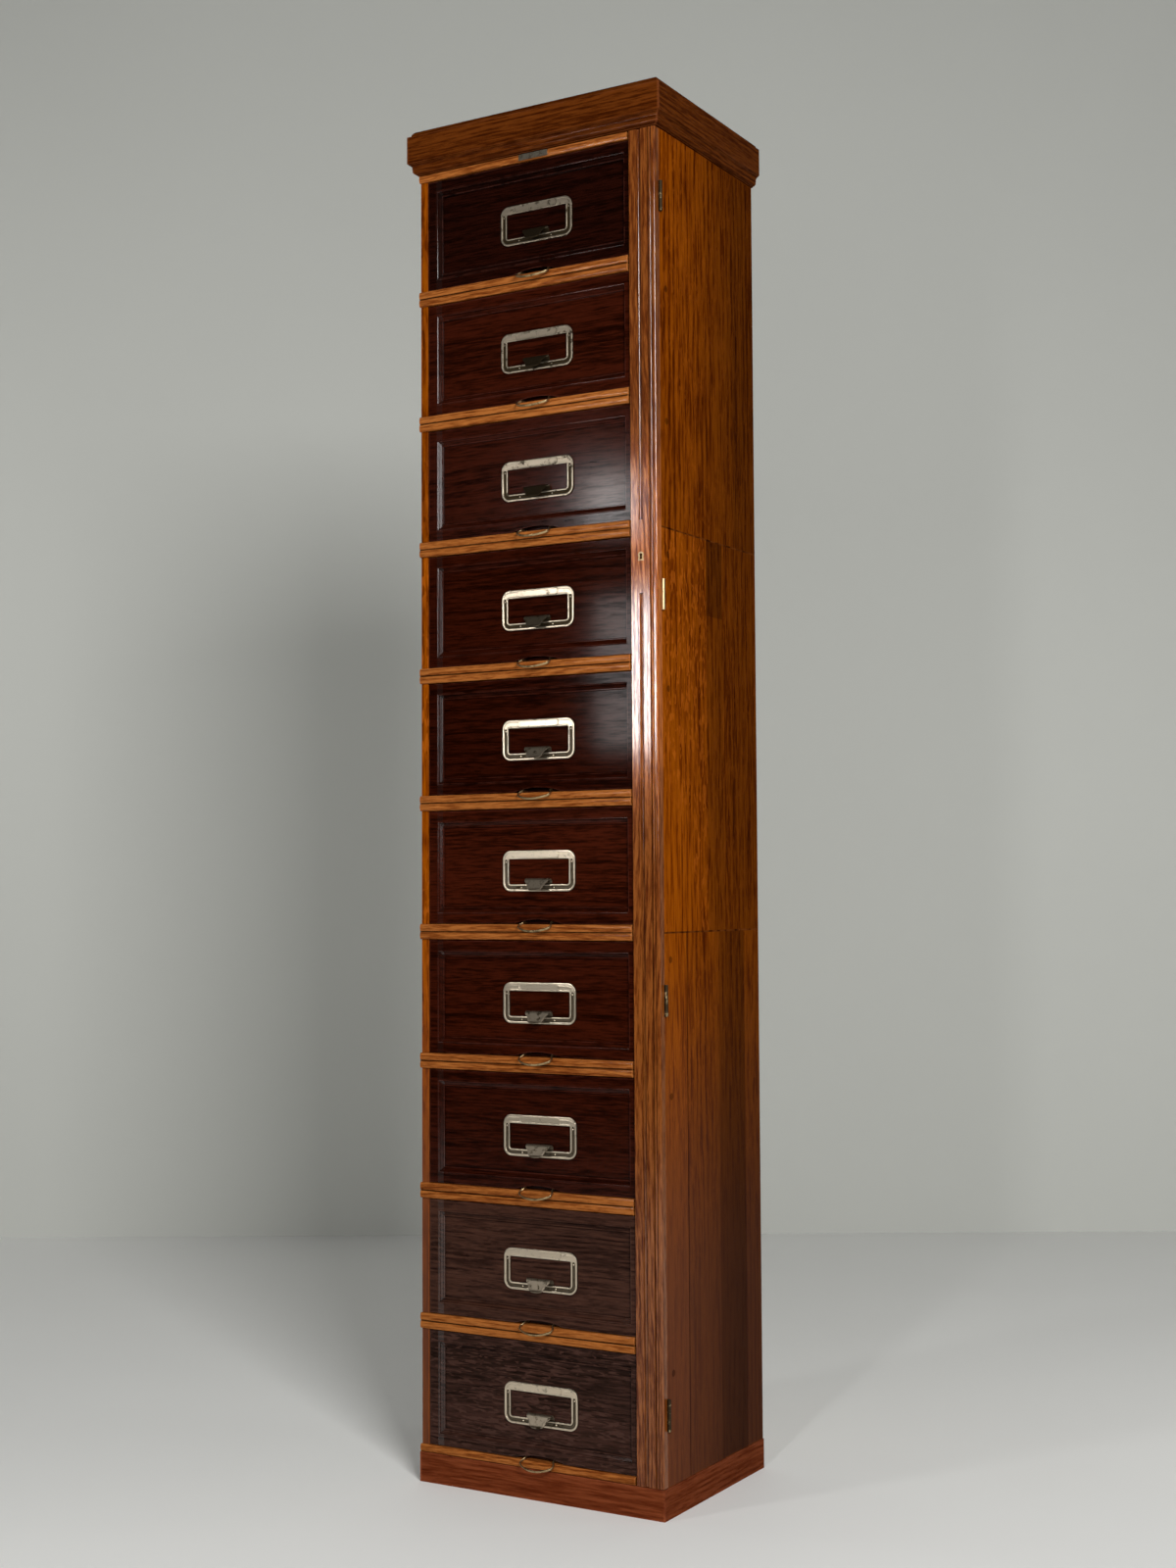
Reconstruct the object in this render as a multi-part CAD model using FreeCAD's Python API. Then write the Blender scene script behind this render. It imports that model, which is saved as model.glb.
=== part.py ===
# Tall oak filing chest: ten shallow drawers in three stacked sections, closed at the
# right by one hinged lock stile that runs the full height of the drawers.
# Millimetres. X runs to the right, Y runs back, Z runs up; the front faces -Y.
# The origin is the centre of the whole chest's box, on the floor.
import FreeCAD
import Part
import math
import os

V = FreeCAD.Vector

# Plinth
plinth_width = 400.0
plinth_depth = 305.0
plinth_height = 42.0
plinth_board = 18.0
corner_block = 28.0          # legs of the glue blocks inside the plinth
corner_block_drop = 2.0      # the blocks stop this far above the floor

# Case
drawer_count = 10
section_ends = (3, 6, 10)    # last drawer of each stacked section, counted from the top
opening_height = 164.5       # clear height between two rails
rail_height = 22.0
rail_depth = 45.0
case_inset = 1.5             # side panels stand inside the plinth's sides by this much
side_thickness = 12.0
side_setback = 4.0           # left side's front edge, behind the rails' faces
rail_end_proud = 1.0         # rail ends stand out past the left side panel
bead_crown = 1.8             # how far a rail's two beads stand out of their groove
back_thickness = 6.0
dust_thickness = 4.0
dust_drop = 4.0              # dust board's top, below the runners' tops
dust_tongue = 4.0
runner_width = 25.0
runner_height = 11.0
guide_width = 12.0
guide_height = 15.0

# Cornice and top
cornice_overhang = 12.5
cornice_inner = 12.0         # how far the cornice reaches inside the plinth's outline
bed_height = 16.5
fascia_height = 40.0
top_thickness = 10.0
top_round = 9.0
top_step = 4.5               # the top's edge stands inside the fascia by this much

# Lock stile and guide post
stile_width = 42.0
stile_thickness = 12.0
stile_end_gap = 0.8
stile_back_gap = 0.6
corner_round = 3.0
bead_width = 3.6
bead_from_edge = 9.0
quirk_width = 0.7
quirk_depth = 1.7
groove_radius = 3.0
groove_from_edge = 16.5      # centre of the long groove and keyhole, from the inner edge
plain_length = 96.0          # plain stretch round the keyhole, where the groove stops
rail_end_gap = 2.5           # between a rail's face and the stile
post_setback = 0.4

# Lock
keyhole_below_rail = 41.0    # keyhole centre, below the middle of the third rail
keyhole_radius = 2.2
keyhole_foot = 2.2
keyhole_foot_length = 8.0
escutcheon_rim = 2.2
escutcheon_thickness = 2.0
escutcheon_proud = 0.6
case_width = 18.0
case_height = 46.0
case_depth = 14.0
case_mortise = 6.0
pocket_clearance = 2.0
bolt_length = 13.0
bolt_height = 10.0
bolt_thickness = 3.6
bolt_rise = 13.0             # bolt centre, above the keyhole
bolt_back = 4.0              # bolt centre, in front of the lock case's back
bolt_clearance = 0.3
bolt_throw = 4.5
strike_thickness = 1.2
strike_height = 34.0

# Hinges
hinge_length = 43.0
leaf_thickness = 1.2
leaf_width = 11.0
knuckle_radius = 2.5
knuckle_gap = 0.3
knuckle_count = 3
pin_radius = 1.2
pin_clearance = 0.05
hinge_end_distance = 96.0    # outer hinges' centres, from the stile's ends

# Drawers
face_setback = 4.5           # drawer faces, behind the rails' faces
front_thickness = 18.0
left_gap = 1.0
stile_gap = 0.8
bottom_gap = 1.0
top_gap = 1.5
slide_gap = 0.3              # under the drawer's sides
frame_flat = 14.0            # plain border of a drawer front
right_flat = 9.0             # slim border beside the stile
field_depth = 5.0
moulding_width = 10.0
box_side = 10.0
box_back = 8.0
box_height = 150.0
back_drop = 10.0
rear_space = 12.0
bottom_thickness = 4.0
bottom_rise = 4.0
bottom_tongue = 5.0
tail_count = 3
tail_length = 10.0
tail_root = 18.0
tail_tip = 25.0
stop_width = 24.0
stop_depth = 10.0
stop_height = 3.0
stop_gap = 0.3
stop_places = (-110.0, 90.0)

# Loop pull under each drawer front
loop_half_width = 23.0
loop_thickness = 1.8
loop_strip = 3.2             # the strip's width
loop_reach = 20.0            # front of the loop, from the drawer's face
loop_tilt = 40.0
loop_neck = 5.5              # straight run between the bend and the corner
loop_corner_turn = 55.0
leg_rise = 2.2               # middle of the legs, above the front's bottom edge
leg_socket = 4.0
notch_width = 78.0
notch_height = 6.0
notch_depth = 9.0

# Label frame with its finger tab
label_width = 120.0
label_height = 58.0
label_corner = 13.0
label_centre = 74.5          # above the bottom edge of the drawer front
side_bar = 10.0
top_bar = 12.0
bottom_bar = 10.0
rim_height = 2.6
sheet = 1.2
outer_rim = 3.0
inner_rim = 2.0
title_width = 68.0
title_proud = 0.5
title_margin = 0.9           # above and below the raised plate, on the top bar
channel_shoulder = 15.0      # where the channel's pointed tips start, below the frame's top
channel_point = 6.0
tab_width = 38.0
tab_lip_width = 25.0
tab_rise = 8.0               # crest of the tab, above the window's lower edge
tab_reach = 15.0
tab_crest = 3.2
tab_slope = 65.0
tab_lip_turn = 35.0
tab_lip_round = 9.0

# Blank plate on the top rail
plate_width = 48.0
plate_height = 8.5
plate_thickness = 0.8

# Worked-out places
half_rail = rail_height / 2
pitch = opening_height + rail_height
lowest_floor = plinth_height + half_rail
case_top = lowest_floor + (drawer_count - 1) * pitch + opening_height + half_rail
front_reach = max(loop_reach - face_setback, cornice_overhang)
front = front_reach - (plinth_depth + front_reach) / 2
back = front + plinth_depth
inner_back = back - back_thickness
side_out = plinth_width / 2 - case_inset
side_in = side_out - side_thickness
stile_in = side_out - stile_width
post_in = stile_in + post_setback
post_front = front + stile_thickness + stile_back_gap
rail_back = front + rail_depth
face = front + face_setback
field = face + field_depth
front_back = face + front_thickness
drawer_left = -side_in + left_gap
drawer_right = stile_in - stile_gap
stile_bottom = plinth_height + stile_end_gap
stile_top = case_top - stile_end_gap
keyhole_x = stile_in + groove_from_edge
keyhole_z = lowest_floor + (drawer_count - section_ends[0]) * pitch - half_rail - keyhole_below_rail
hinge_x = side_out + knuckle_radius
hinge_y = front + stile_thickness + stile_back_gap / 2


def floor_of(number):
    """Height of the rail and runners that carry a drawer, counted from the top."""
    return lowest_floor + (drawer_count - number) * pitch


def block(x0, x1, y0, y1, z0, z1):
    """A rectangular piece between two corners."""
    return Part.makeBox(x1 - x0, y1 - y0, z1 - z0, V(x0, y0, z0))


def rod(radius, start, end):
    """A round bar between two points."""
    run = end.sub(start)
    return Part.makeCylinder(radius, run.Length, start, run)


def outline(start, steps, place):
    """A face whose edge is drawn in (across, up) pairs: a step of one pair is a
    straight line to it, a step of two is an arc through the first to the second."""
    edges = []
    here = place(*start)
    for step in steps:
        there = place(*step[-1])
        if len(step) == 1:
            edges.append(Part.LineSegment(here, there).toShape())
        else:
            edges.append(Part.Arc(here, place(*step[0]), there).toShape())
        here = there
    return Part.Face(Part.Wire(edges))


def rounded_plate(width, height, radius, centre_z, y_front, y_back):
    """An upright plate with rounded corners, centred on X."""
    plate = block(-width / 2, width / 2, y_front, y_back, centre_z - height / 2, centre_z + height / 2)
    corners = [edge for edge in plate.Edges if edge.Length > 0 and abs(edge.tangentAt(0).y) > 0.99]
    return plate.makeFillet(radius, corners)


def mitred_runs(section_of, reach, rise, corners, up):
    """Straight runs of one moulding along a list of corners, mitred where they meet.

    section_of(place) gives the section's face; reach and rise are its least and
    greatest sizes outward and upward."""
    ways = [b.sub(a).normalize() for a, b in zip(corners, corners[1:])]
    outs = [way.cross(up) for way in ways]
    mitres = [outs[0]]
    for one, two in zip(outs, outs[1:]):
        mitres.append((one + two) * (1 / (1 + one.dot(two))))
    mitres.append(outs[-1])
    runs = []
    spare = 2 * max(abs(reach[0]), abs(reach[1]))
    for index, (way, out) in enumerate(zip(ways, outs)):
        start, end = corners[index], corners[index + 1]
        origin = start - way * spare
        section = section_of(lambda u, v, o=origin, w=out: o + w * u + up * v)
        run = section.extrude(way * (start.distanceToPoint(end) + 2 * spare))
        limits = [start + mitres[index] * reach[0], end + mitres[index + 1] * reach[0],
                  end + mitres[index + 1] * reach[1], start + mitres[index] * reach[1]]
        limits = [point + up * rise[0] for point in limits]
        trim = Part.Face(Part.makePolygon(limits + limits[:1])).extrude(up * (rise[1] - rise[0]))
        runs.append(run.common(trim))
    return runs


def keyhole(grow, y_front, y_back):
    """A round eye over a flared foot, cut or filled between two depths."""
    eye_z = keyhole_z + keyhole_foot_length / 2 - keyhole_radius
    eye = rod(keyhole_radius + grow, V(keyhole_x, y_front, eye_z), V(keyhole_x, y_back, eye_z))
    foot_z = keyhole_z - keyhole_foot_length / 2 - grow

    def place(across, up):
        return V(keyhole_x + across, y_front, up)

    neck = keyhole_radius / 2 + grow
    foot = keyhole_foot + grow
    skirt = outline((-neck, eye_z), [((neck, eye_z),), ((foot, foot_z),), ((-foot, foot_z),),
                                     ((-neck, eye_z),)], place)
    return eye.fuse(skirt.extrude(V(0, y_back - y_front, 0))).removeSplitter()


def plinth():
    """Front and side boards mitred at the corners, a back board between the sides
    and a glue block in each corner."""
    def section_of(place):
        return outline((0, 0), [((0, plinth_height),), ((-plinth_board, plinth_height),),
                                ((-plinth_board, 0),), ((0, 0),)], place)

    half = plinth_width / 2
    corners = [V(-half, back, 0), V(-half, front, 0), V(half, front, 0), V(half, back, 0)]
    pieces = mitred_runs(section_of, (-plinth_board, 0), (0, plinth_height), corners, V(0, 0, 1))
    inner = half - plinth_board
    pieces.append(block(-inner, inner, back - plinth_board, back, 0, plinth_height))
    for x, way_x in ((-inner, 1), (inner, -1)):
        for y, way_y in ((front + plinth_board, 1), (back - plinth_board, -1)):
            legs = [V(x, y, corner_block_drop), V(x + way_x * corner_block, y, corner_block_drop),
                    V(x, y + way_y * corner_block, corner_block_drop)]
            wedge = Part.Face(Part.makePolygon(legs + legs[:1]))
            pieces.append(wedge.extrude(V(0, 0, plinth_height - corner_block_drop)))
    return pieces


def section_heights():
    """Bottom and top of each stacked section, from the top down."""
    tops = [case_top] + [floor_of(last) - half_rail for last in section_ends[:-1]]
    return list(zip(tops[1:] + [plinth_height], tops))


def side_panels(side):
    """One panel per section on the left (-1) or the right (1), rebated for the back."""
    start = front + side_setback if side < 0 else post_front
    pieces = []
    for low, high in section_heights():
        xs = sorted((side * side_in, side * side_out))
        panel = block(xs[0], xs[1], start, back, low, high)
        inner = sorted((side * side_in, side * (side_in + back_thickness)))
        rebate = block(inner[0], inner[1], inner_back, back, low, high)
        panel = panel.cut(rebate)
        if side > 0:
            for z in hinge_heights():
                panel = panel.cut(hinge_seat(z, post_front, leaf_thickness))
        pieces.append(panel)
    return pieces


def back_panels():
    """One thin board per section, let into the side panels' rebates."""
    reach = side_in + back_thickness
    return [block(-reach, reach, inner_back, back, low, high) for low, high in section_heights()]


def rail_section(place, low, high):
    """A rail from low to high of its own middle: each half has one crowned bead."""
    beads = [z for z in (-half_rail, 0.0, half_rail) if low - 0.1 < z < high + 0.1]
    quirk = bead_crown / 2
    steps = [((bead_crown, low),)]
    for bottom, top in zip(beads, beads[1:]):
        crown = (0, (bottom + top) / 2)
        steps.append(((quirk, bottom + quirk),))
        steps.append((crown, (quirk, top - quirk)))
        steps.append(((bead_crown, top),))
    steps.append(((rail_depth, high),))
    steps.append(((rail_depth, low),))
    return outline((rail_depth, low), steps, place)


def front_rails():
    """Rails between the drawers. At the section joints a rail is two half rails, and
    the first and last openings end in a half rail too."""
    spans = [(lowest_floor - half_rail, 0.0, half_rail), (case_top, -half_rail, 0.0)]
    for number in range(1, drawer_count):
        middle = floor_of(number) - half_rail
        if number in section_ends:
            spans += [(middle, 0.0, half_rail), (middle, -half_rail, 0.0)]
        else:
            spans.append((middle, -half_rail, half_rail))
    pieces = []
    left_end = -side_out - rail_end_proud
    for middle, low, high in spans:
        section = rail_section(lambda u, v, m=middle: V(left_end, front + u, m + v), low, high)
        rail = section.extrude(V(post_in - left_end, 0, 0))
        z0, z1 = middle + low, middle + high
        rail = rail.cut(block(left_end, -side_in, front + side_setback, rail_back, z0, z1))
        rail = rail.cut(block(stile_in - rail_end_gap, post_in, front, post_front, z0, z1))
        if high > 0:
            rail = rail.cut(dust_board(middle + half_rail))
        pieces.append(rail)
    return pieces


def dust_board(floor):
    """The thin board under one drawer, tongued into its rail and runners."""
    top = floor - dust_drop
    left = -side_in + runner_width - dust_tongue
    right = post_in - guide_width - runner_width + dust_tongue
    return block(left, right, rail_back - dust_tongue, inner_back, top - dust_thickness, top)


def runners(floor):
    """Left and right runner under one drawer, with the guide strip beside the post."""
    low = floor - runner_height
    right = post_in - guide_width - runner_width
    board = dust_board(floor)
    left_runner = block(-side_in, -side_in + runner_width, rail_back, inner_back, low, floor)
    right_runner = block(right, side_in, rail_back, inner_back, low, floor)
    guide = block(post_in, post_in + guide_width, rail_back, inner_back, floor, floor + guide_height)
    return [left_runner.cut(board), right_runner.cut(board), guide]


def kickers():
    """Two strips over the top drawer that keep it level as it comes out."""
    low = case_top - half_rail
    right = post_in - guide_width - runner_width
    return [block(-side_in, -side_in + runner_width, rail_back, inner_back, low, case_top),
            block(right, side_in, rail_back, inner_back, low, case_top)]


def drawer_stops():
    """Two small blocks on each rail, which the drawer front meets when it is shut."""
    start = front_back + stop_gap
    pieces = []
    for number in range(1, drawer_count + 1):
        floor = floor_of(number)
        for x in stop_places:
            pieces.append(block(x - stop_width / 2, x + stop_width / 2, start, start + stop_depth,
                                floor, floor + stop_height))
    return pieces


def cornice():
    """The cornice's front and two returns: a flat fascia over a cavetto and an ovolo."""
    out = cornice_overhang
    top = bed_height + fascia_height
    cove = 0.55 * bed_height
    ledge = out / 2

    def section_of(place):
        return outline((-cornice_inner, 0), [
            ((1.5, 0),),
            ((1.5, 1.5),),
            ((ledge - 1.2, 2.6), (ledge, cove - 1.5)),
            ((ledge + 0.6, cove - 1.5),),
            ((ledge + 0.6, cove),),
            ((ledge + 1.6, cove + 4.0), (out - 1.6, bed_height - 1.5)),
            ((out - 1.6, bed_height - 0.6),),
            ((out, bed_height),),
            ((out, top),),
            ((-cornice_inner, top),),
            ((-cornice_inner, 0),)], place)

    half = plinth_width / 2
    corners = [V(-half, back, case_top), V(-half, front, case_top),
               V(half, front, case_top), V(half, back, case_top)]
    runs = mitred_runs(section_of, (-cornice_inner, out), (0, top), corners, V(0, 0, 1))
    inner = half - cornice_inner
    board = block(-inner, inner, back - cornice_inner, back, case_top, case_top + top)
    return runs + [board]


def top_board():
    """The flat top, with a quarter round worked on its front and ends."""
    reach = plinth_width / 2 + cornice_overhang - top_step
    low = case_top + bed_height + fascia_height
    board = block(-reach, reach, front - cornice_overhang + top_step, back, low, low + top_thickness)
    lips = [edge for edge in board.Edges
            if edge.CenterOfMass.z > low + top_thickness - 0.1 and edge.CenterOfMass.y < back - 0.1]
    return board.makeFillet(top_round, lips)


def guide_post():
    """Upright behind the stile, one length per section, with a pocket for the lock."""
    pocket = block(lock_left() - pocket_clearance, side_in, post_front, lock_back() + 0.8,
                   keyhole_z - case_height / 2 - pocket_clearance,
                   keyhole_z + case_height / 2 + pocket_clearance)
    bolt_z = keyhole_z + bolt_rise
    bolt_y = lock_back() - bolt_back
    tip = lock_left() - bolt_throw - bolt_clearance
    recess = block(tip, lock_left(), bolt_y - bolt_thickness / 2 - bolt_clearance,
                   bolt_y + bolt_thickness / 2 + bolt_clearance,
                   bolt_z - bolt_height / 2 - bolt_clearance, bolt_z + bolt_height / 2 + bolt_clearance)
    pieces = []
    for low, high in section_heights():
        post = block(post_in, side_in, post_front, rail_back, low, high)
        pieces.append(post.cut(pocket).cut(recess).cut(strike_plate(False)))
    return pieces


def lock_left():
    """Left face of the lock case."""
    return keyhole_x - case_width / 2


def lock_back():
    """Back face of the lock case."""
    return front + stile_thickness - case_mortise + case_depth


def lock_stile():
    """The hinged stile: beads along its outer edge and a long groove that stops
    above and below the keyhole."""
    edge = stile_width
    bead = edge - bead_from_edge
    half = bead_width / 2

    def place(across, up):
        return V(stile_in + across, front + up, stile_bottom)

    drop = corner_round * (1 - math.sqrt(0.5))
    section = outline((0, 1), [
        ((0, stile_thickness),),
        ((edge, stile_thickness),),
        ((edge, corner_round),),
        ((edge - drop, drop), (edge - corner_round, 0)),
        ((bead + half + 2 * quirk_width, 0),),
        ((bead + half + quirk_width, quirk_depth),),
        ((bead + half, 0.9),),
        ((bead, 0), (bead - half, 0.9)),
        ((bead - half - quirk_width, quirk_depth),),
        ((bead - half - 2 * quirk_width, 0),),
        ((1, 0),),
        ((0, 1),)], place)
    stile = section.extrude(V(0, 0, stile_top - stile_bottom))
    ends = ((stile_bottom - groove_radius, keyhole_z - plain_length / 2),
            (keyhole_z + plain_length / 2, stile_top + groove_radius))
    for low, high in ends:
        cutter = rod(groove_radius, V(keyhole_x, front, low + groove_radius),
                     V(keyhole_x, front, high - groove_radius))
        stile = stile.cut(cutter)
    stile = stile.cut(keyhole(escutcheon_rim, front, front + escutcheon_thickness - escutcheon_proud))
    stile = stile.cut(keyhole(0.0, front, front + stile_thickness))
    stile = stile.cut(lock_body())
    for z in hinge_heights():
        stile = stile.cut(hinge_seat(z, front + stile_thickness - leaf_thickness, leaf_thickness))
    return stile


def escutcheon():
    """The metal rim let into the stile round the keyhole."""
    y_front = front - escutcheon_proud
    y_back = y_front + escutcheon_thickness
    return keyhole(escutcheon_rim, y_front, y_back).cut(keyhole(0.0, y_front, y_back))


def lock_body():
    """Outer block of the lock case, let into the back of the stile."""
    return block(lock_left(), lock_left() + case_width, lock_back() - case_depth, lock_back(),
                 keyhole_z - case_height / 2, keyhole_z + case_height / 2)


def lock_bolt(clearance):
    """The sliding bolt, drawn back; with a clearance it is the channel it slides in."""
    y = lock_back() - bolt_back
    z = keyhole_z + bolt_rise
    return block(lock_left(), lock_left() + bolt_length + clearance,
                 y - bolt_thickness / 2 - clearance, y + bolt_thickness / 2 + clearance,
                 z - bolt_height / 2 - clearance, z + bolt_height / 2 + clearance)


def lock_case():
    """The case with the bolt's channel and the hole for the key."""
    deep = lock_back() - case_depth
    return lock_body().cut(lock_bolt(bolt_clearance)).cut(keyhole(0.0, deep, lock_back() - bolt_back))


def strike_plate(with_slot=True):
    """Plate in the pocket's wall that the bolt enters."""
    x = lock_left() - pocket_clearance
    z = keyhole_z + bolt_rise
    plate = block(x - strike_thickness, x, post_front, lock_back() + 0.8,
                  z - strike_height / 2, z + strike_height / 2)
    if not with_slot:
        return plate
    y = lock_back() - bolt_back
    slot = block(x - strike_thickness, x, y - bolt_thickness / 2 - bolt_clearance,
                 y + bolt_thickness / 2 + bolt_clearance,
                 z - bolt_height / 2 - bolt_clearance, z + bolt_height / 2 + bolt_clearance)
    return plate.cut(slot)


def hinge_heights():
    """Centres of the four hinges, evenly spaced between the outer two."""
    low = stile_bottom + hinge_end_distance
    high = stile_top - hinge_end_distance
    return [low + index * (high - low) / 3 for index in range(4)]


def hinge_seat(z, y, depth):
    """Recess that a hinge leaf lies in."""
    return block(side_out - leaf_width, side_out, y, y + depth, z - hinge_length / 2, z + hinge_length / 2)


def hinge_leaf(z, y, fixed):
    """One leaf: a plate with every other knuckle of the barrel. The fixed leaf's knuckles
    hold the pin fast, and the moving one is bored to turn on it."""
    leaf = block(side_out - leaf_width, side_out, y, y + leaf_thickness,
                 z - hinge_length / 2, z + hinge_length / 2)
    step = hinge_length / knuckle_count
    for index in range(0 if fixed else 1, knuckle_count, 2):
        low = z - hinge_length / 2 + index * step + knuckle_gap / 2
        high = low + step - knuckle_gap
        knuckle = rod(knuckle_radius, V(hinge_x, hinge_y, low), V(hinge_x, hinge_y, high))
        tongue = block(side_out, hinge_x, y, y + leaf_thickness, low, high)
        leaf = leaf.fuse([knuckle, tongue])
    below, above = V(hinge_x, hinge_y, z - step), V(hinge_x, hinge_y, z + step)
    if fixed:
        return leaf.fuse(rod(pin_radius, below, above)).removeSplitter()
    return leaf.cut(rod(pin_radius + pin_clearance, below, above)).removeSplitter()


def drawer_moulding():
    """Mitred moulding round the field: a bead, a slope and a slim bevelled fillet."""
    deep = field_depth

    def section_of(place):
        return outline((0, 0), [
            ((0, deep - 0.4),),
            ((1.5, deep + 0.6), (3.0, deep - 0.6)),
            ((3.3, deep - 1.6),),
            ((moulding_width - 2.9, deep - 3.3),),
            ((moulding_width - 2.1, deep - 2.7),),
            ((moulding_width - 1.1, deep - 2.7),),
            ((moulding_width - 0.3, deep - 3.6),),
            ((moulding_width, 0),),
            ((0, 0),)], place)

    left = drawer_left + frame_flat
    right = drawer_right - right_flat
    low = bottom_gap + frame_flat
    high = opening_height - top_gap - frame_flat
    corners = [V(right, field, low), V(left, field, low), V(left, field, high), V(right, field, high)]
    return mitred_runs(section_of, (0, moulding_width), (0, deep + 1.5), corners, V(0, -1, 0))


def tails(x0, x1):
    """Dovetails on the front end of a drawer side."""
    space = box_height / tail_count
    pieces = []
    for index in range(tail_count):
        z = slide_gap + (index + 0.5) * space
        root, tip = tail_root / 2, tail_tip / 2
        points = [V(x0, front_back, z - root), V(x0, front_back, z + root),
                  V(x0, front_back - tail_length, z + tip), V(x0, front_back - tail_length, z - tip)]
        pieces.append(Part.Face(Part.makePolygon(points + points[:1])).extrude(V(x1 - x0, 0, 0)))
    return pieces


def box_bottom():
    """The drawer's bottom panel, tongued into the front and the sides."""
    low = slide_gap + bottom_rise
    inset = box_side - bottom_tongue
    return block(drawer_left + inset, drawer_right - inset, front_back - bottom_tongue,
                 inner_back - rear_space, low, low + bottom_thickness)


def box_sides():
    """Left and right side with their dovetails, at the floor's own height."""
    sides = []
    for x0, x1 in ((drawer_left, drawer_left + box_side), (drawer_right - box_side, drawer_right)):
        side = block(x0, x1, front_back, inner_back - rear_space, slide_gap, slide_gap + box_height)
        sides.append(side.fuse(tails(x0, x1)).removeSplitter())
    return sides


def drawer_front():
    """Moulded front with its sunk field, the arched notch and the joints for the box."""
    low, high = bottom_gap, opening_height - top_gap
    slab = block(drawer_left, drawer_right, face, front_back, low, high)
    pocket = block(drawer_left + frame_flat, drawer_right - right_flat, face, field,
                   low + frame_flat, high - frame_flat)
    slab = slab.cut(pocket).fuse(drawer_moulding())
    half = notch_width / 2
    arch = outline((-half, low - 1), [((-half, low),), ((0, low + notch_height), (half, low)),
                                      ((half, low - 1),), ((-half, low - 1),)],
                   lambda across, up: V(across, face, up))
    slab = slab.cut(arch.extrude(V(0, notch_depth, 0)))
    for x in (-loop_half_width, loop_half_width):
        slab = slab.cut(leg_section(x, face).extrude(V(0, notch_depth + leg_socket, 0)))
    return slab.cut(box_sides() + [box_bottom()]).removeSplitter()


def drawer_box():
    """Sides, back and bottom of a drawer, as separate boards."""
    bottom = box_bottom()
    sides = [side.cut(bottom) for side in box_sides()]
    top = slide_gap + box_height - back_drop
    end = inner_back - rear_space
    rear = block(drawer_left + box_side, drawer_right - box_side, end - box_back, end,
                 slide_gap + bottom_rise + bottom_thickness, top)
    return sides + [rear, bottom]


def bent_strip(section, steps):
    """A section carried along straight steps (a vector) and turns (centre, axis, angle)."""
    pieces = []
    for step in steps:
        if len(step) == 1:
            pieces.append(section.extrude(step[0]))
            section = section.translated(step[0])
        else:
            pieces.append(section.revolve(*step))
            section = section.rotated(*step)
    return pieces[0].fuse(pieces[1:]).removeSplitter()


def leg_section(x, y):
    """Cross-section of a loop pull's leg."""
    across, up = loop_thickness / 2, loop_strip / 2
    z = bottom_gap + leg_rise
    return outline((-across, -up), [((across, -up),), ((across, up),), ((-across, up),), ((-across, -up),)],
                   lambda u, v: V(x + u, y, z + v))


def loop_pull():
    """Strip bent sharply to a loop: two legs from the notch, turned down into a bow."""
    tilt, turn = math.radians(loop_tilt), math.radians(loop_corner_turn)
    bend, corner = loop_strip / 2, loop_thickness / 2
    ahead = V(0, -math.cos(tilt), -math.sin(tilt))
    square = V(0, -math.sin(tilt), math.cos(tilt))
    neck_x = loop_half_width - corner * (1 - math.cos(turn))
    bow = neck_x / math.cos(turn)
    corner_run = corner * math.sin(turn)
    depth = loop_neck + corner_run + bow * (1 - math.sin(turn))
    half_strip = (loop_thickness * math.cos(tilt) + loop_strip * math.sin(tilt)) / 2
    bend_y = face - loop_reach + half_strip + depth * math.cos(tilt)
    leg_y = bend_y + bend * math.sin(tilt)
    bend_z = bottom_gap + leg_rise - bend
    root_y = face + notch_depth + leg_socket
    start = V(0, bend_y, bend_z + bend * math.cos(tilt)) + ahead * loop_neck
    left = V(-loop_half_width, leg_y, bend_z)
    right = V(loop_half_width, leg_y, bend_z)
    corner_in = V(loop_half_width - corner, 0, 0)
    bow_centre = start + ahead * (corner_run - bow * math.sin(turn))
    return bent_strip(leg_section(-loop_half_width, root_y), [
        (V(0, leg_y - root_y, 0),),
        (left, V(1, 0, 0), loop_tilt),
        (ahead * loop_neck,),
        (start - corner_in, square, loop_corner_turn),
        (bow_centre, square, 180 - 2 * loop_corner_turn),
        (start + corner_in, square, loop_corner_turn),
        (ahead * -loop_neck,),
        (right, V(1, 0, 0), -loop_tilt),
        (V(0, root_y - leg_y, 0),)])


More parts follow.
